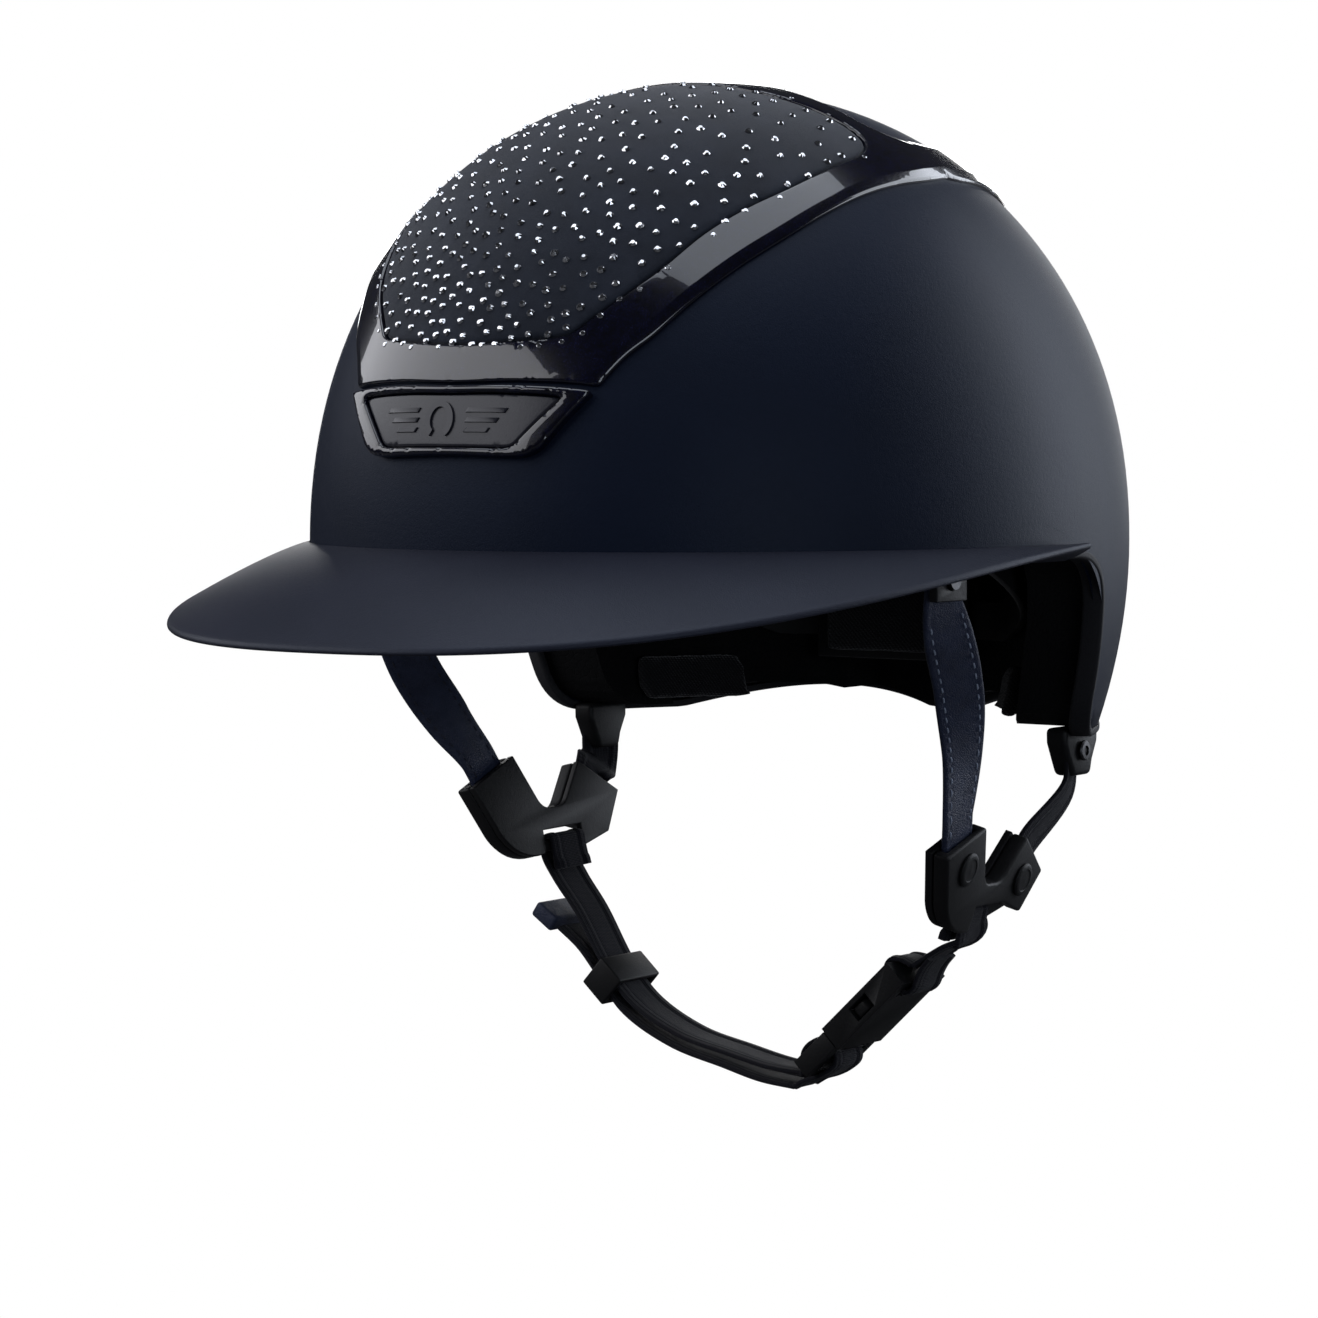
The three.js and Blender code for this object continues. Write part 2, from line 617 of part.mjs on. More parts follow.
function dividerOutline(closed) {
  const outline = new THREE.Shape();
  outline.moveTo(-36.8, 16.4);
  outline.lineTo(-16, 24.4);
  outline.lineTo(-8.2, 9.4);
  outline.quadraticCurveTo(-6.4, 6.6, -3.4, 6.6);
  outline.lineTo(1, 6.6);
  outline.quadraticCurveTo(3.6, 6.6, 5.6, 9);
  outline.lineTo(14.2, 19.6);
  outline.lineTo(31, 8.4);
  outline.lineTo(22.4, -4);
  if (closed) {
    outline.lineTo(SLOT.back + 1, BAR.bottom);
    outline.lineTo(SLOT.front - 1, BAR.bottom);
  } else {
    outline.lineTo(SLOT.back, 0);
    outline.lineTo(SLOT.front, 0);
  }
  outline.lineTo(SLOT.front - 1, -7.6);
  outline.quadraticCurveTo(-17, -8.4, -22.5, -5);
  outline.quadraticCurveTo(-26.5, -2.4, -28.6, 1);
  return outline;
}

// Slabs are drawn in (back, up) and extruded outwards; this turns them into the divider's own axes.
function dividerSlab(shape, inner, outer, mirror) {
  const toLocal = new THREE.Matrix4().makeBasis(
    new THREE.Vector3(0, 1, 0), new THREE.Vector3(0, 0, 1), new THREE.Vector3(mirror, 0, 0),
  );
  return solid(slab(shape, inner, outer).applyMatrix4(toLocal));
}

function channel(arm, mirror) {
  const half = STRAP.width / 2 + 0.4;
  const lean = THREE.MathUtils.degToRad(arm.lean);
  const corners = [[-half, 6], [half, 6], [half, -arm.depth], [-half, -arm.depth]].map(([across, along]) => [
    arm.back + across * Math.cos(lean) - along * Math.sin(lean),
    arm.up + across * Math.sin(lean) + along * Math.cos(lean),
  ]);
  return dividerSlab(shapeOf(corners), COVER.inner - 2, COVER.channel, mirror);
}

function dividerCover(mirror) {
  return dividerSlab(dividerOutline(false), COVER.inner, COVER.outer, mirror)
    .subtract(channel(FRONT_ARM, mirror))
    .subtract(channel(REAR_ARM, mirror));
}

function dividerBack(mirror) {
  const slot = shapeOf([[SLOT.front, 0], [SLOT.back, 0], [SLOT.back, BAR.top], [SLOT.front, BAR.top]]);
  return dividerSlab(dividerOutline(true), BACK_PLATE.inner, BACK_PLATE.outer, mirror)
    .subtract(dividerSlab(slot, BACK_PLATE.inner - 1, BACK_PLATE.outer + 1, mirror));
}

function dividerStud(arm, mirror) {
  const lean = THREE.MathUtils.degToRad(arm.lean);
  const back = arm.back + Math.sin(lean) * STUD.inset;
  const up = arm.up - Math.cos(lean) * STUD.inset;
  const low = (COVER.outer + GAP) * mirror;
  return drumX(STUD.radius, low, low + STUD.height * mirror, back, up);
}

// ---------------------------------------------------------------- chin straps, keeper and tail

// The webbing goes round the divider's bar; the returned points run from its sewn end to below the bar.
function barLoop(side) {
  const clearance = GAP + WEBBING.thickness / 2;
  const inner = BACK_PLATE.inner - clearance;
  const outer = BACK_PLATE.outer + clearance;
  const middle = (BACK_PLATE.inner + BACK_PLATE.outer) / 2;
  const at = (up, out) => dividerPoint(side, (SLOT.front + SLOT.back) / 2, up, out);
  return [
    at(-13, inner - 0.2), at(BAR.bottom, inner), at(BAR.top - 0.8, inner - 0.1), at(BAR.top + 0.95, inner + 0.15),
    at(BAR.top + clearance + 0.3, middle), at(BAR.top + 0.95, outer - 0.15), at(BAR.top - 0.8, outer + 0.1),
    at(BAR.bottom - 1.4, outer + 0.2),
  ];
}

const LONG_ROUTE = [
  new THREE.Vector3(-72, 26, -106), new THREE.Vector3(-62.5, 24, -115.5), new THREE.Vector3(-49.5, 21, -131.5),
  new THREE.Vector3(-38.5, 19, -141), new THREE.Vector3(-20.5, 17, -148.8), new THREE.Vector3(-1, 15, -152.4),
  new THREE.Vector3(15, 14, -155), new THREE.Vector3(27.6, 14, -155.6),
];
const TAIL_ROUTE = [
  new THREE.Vector3(24, 14, -160), new THREE.Vector3(12, 14, -159), new THREE.Vector3(-2, 15, -156.3),
  new THREE.Vector3(-22.5, 17, -152.2), new THREE.Vector3(-41.3, 19, -144), new THREE.Vector3(-52.5, 21, -133.6),
  new THREE.Vector3(-60.5, 22, -126), new THREE.Vector3(-68, 22, -120.6),
];
const ACROSS = new THREE.Vector3(0, 1, 0);

function chinStrapLong() {
  const points = [...barLoop('right'), ...LONG_ROUTE];
  const start = dividerDirection('right', 1, 0);
  return solid(strapAlong(points, start, ACROSS, { from: 0.47, to: 0.7 }, WEBBING.width, WEBBING.thickness, 3));
}

function chinStrapShort() {
  const points = [
    ...barLoop('left'), new THREE.Vector3(75.5, 20, -113.4), new THREE.Vector3(70.5, 17.5, -116.2),
    new THREE.Vector3(62.4, 16, -121.6),
  ];
  const start = dividerDirection('left', 1, 0);
  return solid(strapAlong(points, start, ACROSS, { from: 0.7, to: 1 }, WEBBING.width, WEBBING.thickness, 3));
}

function strapTail() {
  return solid(strapAlong(TAIL_ROUTE, ACROSS, ACROSS, { from: 0, to: 1 }, WEBBING.width, WEBBING.thickness, 3));
}

const KEEPER_PLACE = new THREE.Vector3(-48.6, 20.6, -135.2);
const KEEPER_ALONG = new THREE.Vector3(0.745, 0, -0.667).normalize();

// A rectangular sleeve drawn about its own middle; it slides along its Y axis.
function keeperSleeve() {
  const outer = block(-5.4, 5.4, -5, 5, -10.6, 10.6);
  const inner = block(-3.8, 3.8, -6, 6, -9, 9);
  return outer.subtract(inner);
}

function strapEndTab() {
  return block(-2.6, 2.6, -4.5, 4.5, -8.6, 8.6);
}

// ---------------------------------------------------------------- buckle

// The buckle is drawn along its own X axis: the clip points to +X and the socket takes it.
function buckleSocket() {
  const half = BUCKLE.width / 2;
  const cheek = BUCKLE.thickness / 2;
  const inner = BUCKLE.cavity / 2;
  const tall = BUCKLE.cavityHeight / 2;
  const body = block(0, BUCKLE.socket, -half, half, -cheek, cheek);
  const cavity = block(-1, 19, -inner, inner, -tall, tall);
  const windows = block(11, 18.4, -half - 1, half + 1, -tall, tall);
  const webbingSlot = block(23.4, 26.8, -BUCKLE.slot / 2, BUCKLE.slot / 2, -10, 10);
  return body.subtract(cavity).subtract(windows).subtract(webbingSlot);
}

function buckleClip() {
  const half = BUCKLE.width / 2;
  const base = block(-BUCKLE.clip, -GAP, -half, half, -3, 3);
  const slots = [-11.6, -5.9].map((start) => block(start, start + 3.2, -BUCKLE.slot / 2, BUCKLE.slot / 2, -10, 10));
  const tongue = block(-1, 9, -1.4, 1.4, -1.8, 1.8);
  const rooms = [-1, 1].map((side) => block(-2.4, 1, side * 6.5 - 2.1, side * 6.5 + 2.1, -10, 10));
  return base.subtract(join(slots)).subtract(join(rooms)).add(tongue);
}

function buckleProng(side) {
  const outline = shapeOf([
    [-2, 5], [15, 5], [17.4, 6.5], [17.6, 9], [15.5, 11.4], [11.4, 11.4], [11.4, 7.9], [-2, 7.9],
  ]);
  const geometry = slab(outline, -1.9, 1.9);
  return solid(side > 0 ? geometry : geometry.scale(1, -1, 1));
}

// ---------------------------------------------------------------- retention cradle

function bandPath(side) {
  const points = [];
  for (const bearing of [86, 96, 106, 116, 126, 136, 145]) {
    const at = planPoint(CAVITY, THREE.MathUtils.degToRad(bearing), -BAND.inset, 0.985);
    const part = (at.y - TEMPLE.y) / (DIAL.y - TEMPLE.y);
    points.push(new THREE.Vector3(at.x * side, at.y, THREE.MathUtils.lerp(TEMPLE.z, DIAL.z, part)));
  }
  points.push(new THREE.Vector3(41 * side, DIAL.y - 4.2, DIAL.z));
  points.push(new THREE.Vector3(34 * side, DIAL.y - 0.6, DIAL.z));
  points.push(new THREE.Vector3(26 * side, DIAL.y, DIAL.z));
  return points;
}

function band(side) {
  const up = new THREE.Vector3(0, 0, 1);
  const arm = solid(strapAlong(bandPath(side), up, up, { from: 0, to: 1 }, BAND.height, BAND.thickness, 2));
  const low = side > 0 ? TAIL.low : -TAIL.high;
  const high = side > 0 ? TAIL.high : -TAIL.low;
  const x0 = Math.min(-TAIL.reach * side, 26.5 * side);
  const x1 = Math.max(-TAIL.reach * side, 26.5 * side);
  const halfThick = BAND.thickness / 2;
  const tail = block(x0, x1, DIAL.y - halfThick, DIAL.y + halfThick, DIAL.z + low, DIAL.z + high);
  const shoulder = block(
    Math.min(25 * side, 28 * side), Math.max(25 * side, 28 * side), DIAL.y - halfThick, DIAL.y + halfThick,
    DIAL.z - 6, DIAL.z + 6,
  );
  const bridge = block(
    Math.min(22 * side, 27 * side), Math.max(22 * side, 27 * side), DIAL.y - halfThick, DIAL.y + halfThick,
    DIAL.z + Math.min(low, 0), DIAL.z + Math.max(high, 0),
  );
  const hole = drumX(2.9, 60 * side, 110 * side, TEMPLE.y, TEMPLE.z);
  const eye = drumX(6.4, (TEMPLE.x - 1) * side, (TEMPLE.x + 1) * side, TEMPLE.y, TEMPLE.z);
  return join([arm, tail, shoulder, bridge, eye]).subtract(hole);
}

function templePin(side) {
  const shank = drumX(TEMPLE_PIN.radius, TEMPLE_PIN.neck - 0.2, TEMPLE_PIN.end, TEMPLE.y, TEMPLE.z);
  const head = drumX(TEMPLE_PIN.headRadius, TEMPLE_PIN.start, TEMPLE_PIN.neck, TEMPLE.y, TEMPLE.z);
  return reflect(shank.add(head), side);
}

function dialHousing() {
  const half = HOUSING.width / 2;
  const tall = HOUSING.height / 2;
  const deep = HOUSING.depth / 2;
  const body = block(-half, half, DIAL.y - deep, DIAL.y + deep, DIAL.z - tall, DIAL.z + tall);
  const channelTall = HOUSING.channelHeight / 2;
  const channelDeep = HOUSING.channelDepth / 2;
  const hollow = block(
    -half - 1, half + 1, DIAL.y - channelDeep, DIAL.y + channelDeep, DIAL.z - channelTall, DIAL.z + channelTall,
  );
  const shaftHole = drumY(3, DIAL.y, DIAL.y + 10, 0, DIAL.z);
  return body.subtract(hollow).subtract(shaftHole);
}

function dialPinion() {
  const wheel = drumY(PINION_RADIUS, DIAL.y - 1.5, DIAL.y + 1.6, 0, DIAL.z);
  const shaft = drumY(2.6, DIAL.y, DIAL.y + HOUSING.depth / 2 + 0.1, 0, DIAL.z);
  return wheel.add(shaft);
}

function dialKnob() {
  const low = DIAL.y + HOUSING.depth / 2 + 0.4;
  const profile = [
    [0, 0], [DIAL.radius - 1, 0], [DIAL.radius, 1], [DIAL.radius, DIAL.depth - 1.6],
    [DIAL.radius - 1.6, DIAL.depth], [0, DIAL.depth],
  ].map(([radius, height]) => new THREE.Vector2(radius, height));
  const geometry = new THREE.LatheGeometry(profile, 18).translate(0, low, DIAL.z);
  return solid(geometry);
}

function cradlePad() {
  const front = DIAL.y - HOUSING.depth / 2 - GAP;
  return block(-24, 24, front - 4, front, DIAL.z - 11, DIAL.z + 11);
}

// ---------------------------------------------------------------- assembly

function mesh(name, finish, body) {
  const piece = new THREE.Mesh(geometryOf(body), new THREE.MeshStandardMaterial(FINISH[finish]));
  piece.name = name;
  return piece;
}

const helmet = new THREE.Group();

helmet.add(
  mesh('outer_shell', 'shell', outerShell()),
  mesh('impact_liner', 'foam', impactLiner()),
  mesh('brim', 'brim', brim()),
  mesh('edge_trim', 'trim', edgeTrim()),
  mesh('gloss_frame', 'gloss', glossFrame()),
  mesh('crown_panel', 'suede', crownPanel()),
  mesh('vent_grille', 'plastic', ventGrille()),
  mesh('badge_bezel', 'gloss', badgeBezel()),
  mesh('badge_plate', 'plate', badgePlate()),
  mesh('forehead_pad', 'fabric', foreheadPad()),
  mesh('crown_pad', 'fabric', crownPad()),
);

for (const [side, sign] of [['left', 1], ['right', -1]]) {
  helmet.add(
    mesh(`side_pad_${side}`, 'fabric', sidePad(sign)),
    mesh(`ear_pad_${side}`, 'fabric', earPad(sign)),
    mesh(`front_anchor_${side}`, 'plastic', frontAnchor(side)),
    mesh(`front_rivet_${side}`, 'steel', frontRivet(side)),
    mesh(`rear_guide_${side}`, 'plastic', rearGuide(side)),
    mesh(`guide_screw_${side}`, 'steel', guideScrew(side)),
    mesh(`temple_pin_${side}`, 'steel', templePin(side)),
  );
}

const harness = new THREE.Group();
helmet.add(harness);

for (const [side, sign] of [['left', 1], ['right', -1]]) {
  harness.add(
    mesh(`front_strap_${side}`, 'leather', frontStrap(side)),
    mesh(`rear_strap_${side}`, 'webbing', rearStrap(side)),
  );
  const divider = new THREE.Group();
  dividerPlacement(side).decompose(divider.position, divider.quaternion, divider.scale);
  divider.add(
    mesh(`divider_cover_${side}`, 'plastic', dividerCover(sign)),
    mesh(`divider_back_${side}`, 'plastic', dividerBack(sign)),
    mesh(`front_stud_${side}`, 'plastic', dividerStud(FRONT_ARM, sign)),
    mesh(`rear_stud_${side}`, 'plastic', dividerStud(REAR_ARM, sign)),
  );
  harness.add(divider);
}

harness.add(
  mesh('chin_strap_long', 'webbing', chinStrapLong()),
  mesh('chin_strap_short', 'webbing', chinStrapShort()),
  mesh('strap_tail', 'webbing', strapTail()),
);

function alongStrap(piece, place, along) {
  const out = new THREE.Vector3().crossVectors(along, ACROSS).normalize();
  const axes = new THREE.Matrix4().makeBasis(out, along, new THREE.Vector3().crossVectors(out, along));
  piece.quaternion.setFromRotationMatrix(axes);
  piece.position.copy(place);
  return piece;
}

harness.add(
  alongStrap(mesh('keeper_loop', 'plastic', keeperSleeve()), KEEPER_PLACE, KEEPER_ALONG),
  alongStrap(
    mesh('strap_end_tab', 'leather', strapEndTab()),
    new THREE.Vector3(-73.2, 22, -117.4),
    new THREE.Vector3(0.83, 0, -0.56).normalize(),
  ),
);

const buckle = new THREE.Group();
const buckleAlong = BUCKLE_END.clone().sub(BUCKLE_START).normalize();
const buckleOut = new THREE.Vector3().crossVectors(buckleAlong, ACROSS).normalize();
const buckleAcross = new THREE.Vector3().crossVectors(buckleOut, buckleAlong);
buckle.quaternion.setFromRotationMatrix(new THREE.Matrix4().makeBasis(buckleAlong, buckleAcross, buckleOut));
buckle.position.copy(BUCKLE_START).addScaledVector(buckleAlong, BUCKLE.clip);
buckle.add(
  mesh('buckle_socket', 'plastic', buckleSocket()),
  mesh('buckle_clip', 'plastic', buckleClip()),
  mesh('buckle_prong_rear', 'plastic', buckleProng(1)),
  mesh('buckle_prong_front', 'plastic', buckleProng(-1)),
);
harness.add(buckle);

const cradle = new THREE.Group();
cradle.add(
  mesh('band_left', 'plastic', band(1)),
  mesh('band_right', 'plastic', band(-1)),
  mesh('dial_housing', 'plastic', dialHousing()),
  mesh('dial_pinion', 'plastic', dialPinion()),
  mesh('dial_knob', 'plastic', dialKnob()),
  mesh('cradle_pad', 'fabric', cradlePad()),
);
helmet.add(cradle);

export default helmet;
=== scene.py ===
import json
import math
import random

import bmesh
import bpy
import numpy as np
from mathutils import Matrix, Vector
from mathutils.geometry import delaunay_2d_cdt
from mathutils.kdtree import KDTree

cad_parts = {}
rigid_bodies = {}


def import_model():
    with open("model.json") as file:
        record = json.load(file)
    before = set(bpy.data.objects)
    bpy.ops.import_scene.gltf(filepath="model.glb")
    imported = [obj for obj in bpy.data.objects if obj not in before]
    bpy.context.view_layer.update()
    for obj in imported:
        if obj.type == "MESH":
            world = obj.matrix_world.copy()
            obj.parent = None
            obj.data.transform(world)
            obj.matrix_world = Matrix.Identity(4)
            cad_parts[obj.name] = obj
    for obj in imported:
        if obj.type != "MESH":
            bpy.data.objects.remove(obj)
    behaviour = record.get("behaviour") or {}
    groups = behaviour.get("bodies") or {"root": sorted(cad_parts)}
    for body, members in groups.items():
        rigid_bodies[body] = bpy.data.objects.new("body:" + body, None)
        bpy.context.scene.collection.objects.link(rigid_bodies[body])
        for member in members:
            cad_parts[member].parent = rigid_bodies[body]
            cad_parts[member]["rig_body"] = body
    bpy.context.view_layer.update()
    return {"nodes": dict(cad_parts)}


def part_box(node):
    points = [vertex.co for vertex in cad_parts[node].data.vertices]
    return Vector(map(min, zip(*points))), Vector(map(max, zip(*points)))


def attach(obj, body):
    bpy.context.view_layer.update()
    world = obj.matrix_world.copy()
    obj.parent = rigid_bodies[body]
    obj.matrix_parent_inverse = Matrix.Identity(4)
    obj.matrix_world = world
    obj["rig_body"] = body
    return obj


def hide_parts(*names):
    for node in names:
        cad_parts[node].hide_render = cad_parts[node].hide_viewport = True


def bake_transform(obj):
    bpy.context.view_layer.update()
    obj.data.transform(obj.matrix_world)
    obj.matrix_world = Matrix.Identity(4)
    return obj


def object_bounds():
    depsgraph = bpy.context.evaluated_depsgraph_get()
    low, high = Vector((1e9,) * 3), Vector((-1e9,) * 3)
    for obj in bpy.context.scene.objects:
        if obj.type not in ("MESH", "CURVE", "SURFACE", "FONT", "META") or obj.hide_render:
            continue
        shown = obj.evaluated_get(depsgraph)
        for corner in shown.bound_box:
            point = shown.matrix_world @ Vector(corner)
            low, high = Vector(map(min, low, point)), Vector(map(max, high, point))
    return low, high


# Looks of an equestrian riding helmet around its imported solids. Lengths are millimetres until a mesh is made.
# The brim points to -Y and the wearer's left is +X, as in the solids.

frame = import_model()

MM = 0.001
SHELL = {"half": 112.0, "front": 130.0, "back": 154.0, "height": 132.8}
PLAN_POWER = 1.95
CROWN_POWER = 2.12
SIDES = {"left": 1, "right": -1}

# ---------------------------------------------------------------- camera, light and backdrop

scene = bpy.context.scene
scene.view_settings.view_transform = "Standard"
scene.view_settings.look = "None"
collection = scene.collection


def aim(obj, place, target):
    obj.location = place
    obj.rotation_mode = "QUATERNION"
    obj.rotation_quaternion = (Vector(target) - Vector(place)).to_track_quat("-Z", "Y")


camera = bpy.data.objects.new("camera", bpy.data.cameras.new("camera"))
collection.objects.link(camera)
camera.data.sensor_width = 36
camera.data.lens = 101.9
aim(camera, (0.6175, -0.9105, 0.0334), (-0.0122, -0.0111, -0.0338))
scene.camera = camera


def softbox(name, azimuth, elevation, distance, width, height, watts, tint=(1, 1, 1)):
    data = bpy.data.lights.new(name, "AREA")
    data.shape = "RECTANGLE"
    data.size, data.size_y = width, height
    data.energy = watts
    data.color = tint
    light = bpy.data.objects.new(name, data)
    collection.objects.link(light)
    a, e = math.radians(azimuth), math.radians(elevation)
    place = Vector((math.sin(a) * math.cos(e), -math.cos(a) * math.cos(e), math.sin(e))) * distance
    aim(light, place, (0, 0, 0))
    light.visible_camera = False
    return light


softbox("key_left", -50, 28, 1.6, 3.0, 1.0, 17, (0.94, 0.95, 1.0))
top = softbox("key_top", 90, 80, 1.5, 1.9, 1.5, 15, (0.84, 0.90, 1.0))
top.location = (0.1, 0.05, 1.5)
top.rotation_quaternion = Vector((0, 0, -1)).to_track_quat("-Z", "Y")
softbox("side_right", 152, 12, 1.6, 1.3, 1.5, 16, (0.86, 0.91, 1.0))
softbox("back_left", -150, 9, 1.8, 1.3, 0.6, 9)
softbox("low_front", 62, 2, 2.0, 1.0, 0.8, 6.0, (0.8, 0.88, 1.0))

world = bpy.data.worlds.new("studio")
scene.world = world
world.use_nodes = True
tree = world.node_tree
tree.nodes.clear()
path = tree.nodes.new("ShaderNodeLightPath")
seen = tree.nodes.new("ShaderNodeBackground")
seen.inputs["Color"].default_value = (1, 1, 1, 1)
ambient = tree.nodes.new("ShaderNodeBackground")
ambient.inputs["Color"].default_value = (0.022, 0.023, 0.026, 1)
blend_world = tree.nodes.new("ShaderNodeMixShader")
out = tree.nodes.new("ShaderNodeOutputWorld")
tree.links.new(path.outputs["Is Camera Ray"], blend_world.inputs[0])
tree.links.new(ambient.outputs[0], blend_world.inputs[1])
tree.links.new(seen.outputs[0], blend_world.inputs[2])
tree.links.new(blend_world.outputs[0], out.inputs["Surface"])

# ---------------------------------------------------------------- materials

MATERIALS = {}


class Nodes:
    """A material's node tree with short calls for the nodes that repeat."""

    def __init__(self, name):
        self.material = bpy.data.materials.new(name)
        self.material.use_nodes = True
        self.tree = self.material.node_tree
        self.shader = self.tree.nodes["Principled BSDF"]
        self.coords = self.tree.nodes.new("ShaderNodeTexCoord")

    def link(self, source, target):
        self.tree.links.new(source, target)

    def node(self, kind, **values):
        made = self.tree.nodes.new("ShaderNode" + kind)
        for key, value in values.items():
            if hasattr(made, key):
                setattr(made, key, value)
            else:
                made.inputs[key.replace("_", " ")].default_value = value
        return made

    def scaled(self, scale, source="Object"):
        mapping = self.node("Mapping")
        mapping.inputs["Scale"].default_value = scale
        self.link(self.coords.outputs[source], mapping.inputs["Vector"])
        return mapping.outputs["Vector"]

    def noise(self, scale, detail=3.0, source="Object", roughness=0.55):
        made = self.node("TexNoise", Scale=scale, Detail=detail, Roughness=roughness)
        self.link(self.coords.outputs[source], made.inputs["Vector"])
        return made.outputs["Fac"]

    def ramp(self, fac, low, high, start=0.35, end=0.65):
        made = self.node("ValToRGB")
        made.color_ramp.elements[0].position = start
        made.color_ramp.elements[1].position = end
        made.color_ramp.elements[0].color = (*low, 1) if len(low) == 3 else low
        made.color_ramp.elements[1].color = (*high, 1) if len(high) == 3 else high
        self.link(fac, made.inputs["Fac"])
        return made.outputs["Color"]

    def colour(self, socket):
        self.link(socket, self.shader.inputs["Base Color"])

    def rough(self, fac, low, high):
        spread = self.node("MapRange")
        spread.inputs["To Min"].default_value = low
        spread.inputs["To Max"].default_value = high
        self.link(fac, spread.inputs["Value"])
        self.link(spread.outputs["Result"], self.shader.inputs["Roughness"])

    def add(self, a, b, share=1.0):
        made = self.node("Math", operation="MULTIPLY_ADD")
        made.inputs[1].default_value = share
        self.link(b, made.inputs[0])
        self.link(a, made.inputs[2])
        return made.outputs[0]

    def bump(self, height, distance, strength=1.0):
        made = self.node("Bump", Distance=distance, Strength=strength)
        self.link(height, made.inputs["Height"])
        self.link(made.outputs["Normal"], self.shader.inputs["Normal"])

    def done(self, slot, **values):
        for key, value in values.items():
            self.shader.inputs[key.replace("_", " ")].default_value = value
        MATERIALS[slot] = self.material
        return self.material


def grown_range(colour, share):
    return tuple(c * (1 - share) for c in colour), tuple(c * (1 + share) for c in colour)


def matte(slot, colour, low, high, grain, depth, variation=0.12, specular=0.5, sheen=0.0):
    n = Nodes(slot)
    broad = n.noise(22, 4)
    n.colour(n.ramp(broad, *grown_range(colour, variation)))
    fine = n.noise(grain, 2, roughness=0.7)
    n.rough(fine, low, high)
    n.bump(n.add(fine, n.noise(grain * 0.3, 2), 0.6), depth)
    n.done(slot, Specular_IOR_Level=specular, Sheen_Weight=sheen, Sheen_Roughness=0.4)
    if slot in ("shell", "brim"):
        n.shader.inputs["Specular Tint"].default_value = (0.72, 0.82, 1.0, 1)


matte("shell", (0.0058, 0.0098, 0.0240), 0.44, 0.56, 2600, 0.00006, 0.10, 0.20)
matte("brim", (0.0175, 0.0190, 0.0310), 0.42, 0.54, 2200, 0.00007, 0.10, 0.30)
matte("trim", (0.0150, 0.0150, 0.0180), 0.55, 0.72, 1500, 0.00010, 0.15, 0.35)
matte("plate", (0.0200, 0.0205, 0.0300), 0.24, 0.34, 1800, 0.00003, 0.08, 0.5)
matte("plastic", (0.0110, 0.0110, 0.0118), 0.42, 0.56, 1900, 0.00006, 0.12, 0.26)


def gloss_material():
    n = Nodes("gloss")
    flakes = n.node("TexVoronoi", Scale=2600.0)
    n.link(n.coords.outputs["Object"], flakes.inputs["Vector"])
    sparkle = n.ramp(flakes.outputs["Distance"], (0.020, 0.026, 0.120), (0.0022, 0.0024, 0.0130), 0.05, 0.30)
    cloud = n.ramp(n.noise(400, 2), (0.35, 0.35, 0.35), (1.0, 1.0, 1.0))
    mix = n.node("Mix", data_type="RGBA", blend_type="MULTIPLY")
    mix.inputs["Factor"].default_value = 1.0
    n.link(sparkle, mix.inputs["A"])
    n.link(cloud, mix.inputs["B"])
    n.colour(mix.outputs["Result"])
    n.rough(n.noise(90, 3), 0.16, 0.24)
    n.bump(n.noise(60, 2), 0.00002, 0.4)
    n.done("gloss", Coat_Weight=1.0, Coat_Roughness=0.025, Coat_IOR=1.55, Specular_IOR_Level=0.35)


def suede_material():
    n = Nodes("suede")
    patches = n.noise(70, 5)
    n.colour(n.ramp(patches, (0.0105, 0.0140, 0.0240), (0.0175, 0.0225, 0.0370)))
    nap = n.noise(5200, 2, roughness=0.8)
    n.rough(nap, 0.86, 1.0)
    n.bump(n.add(nap, patches, 0.5), 0.00012)
    n.done("suede", Specular_IOR_Level=0.15, Sheen_Weight=0.35, Sheen_Roughness=0.45)


def leather_material():
    n = Nodes("leather")
    n.colour(n.ramp(n.noise(160, 4), (0.0165, 0.0235, 0.0560), (0.0290, 0.0400, 0.0860)))
    cells = n.node("TexVoronoi", Scale=1500.0, feature="DISTANCE_TO_EDGE")
    n.link(n.coords.outputs["Object"], cells.inputs["Vector"])
    creases = n.ramp(cells.outputs["Distance"], (0, 0, 0), (1, 1, 1), 0.0, 0.18)
    n.rough(n.noise(700, 2), 0.42, 0.60)
    n.bump(n.add(creases, n.noise(2600, 2), 0.5), 0.00010)
    n.done("leather", Specular_IOR_Level=0.45)


def webbing_material(slot="webbing", low=(0.0062, 0.0062, 0.0100), high=(0.0135, 0.0135, 0.0205)):
    n = Nodes(slot)
    along = n.node("TexWave", wave_type="BANDS", bands_direction="X", Scale=0.62, Distortion=0.4)
    n.link(n.scaled((1, 1, 1), "UV"), along.inputs["Vector"])
    across = n.node("TexWave", wave_type="BANDS", bands_direction="Y", Scale=0.50, Distortion=0.4)
    n.link(n.scaled((1, 1, 1), "UV"), across.inputs["Vector"])
    weave = n.node("Math", operation="MULTIPLY")
    n.link(along.outputs["Fac"], weave.inputs[0])
    n.link(across.outputs["Fac"], weave.inputs[1])
    fibres = n.noise(4200, 2)
    mixed = n.add(weave.outputs[0], fibres, 0.35)
    n.colour(n.ramp(mixed, low, high, 0.05, 0.75))
    n.rough(fibres, 0.70, 0.92)
    n.bump(mixed, 0.00016)
    n.done(slot, Specular_IOR_Level=0.25, Sheen_Weight=0.10, Sheen_Roughness=0.4)


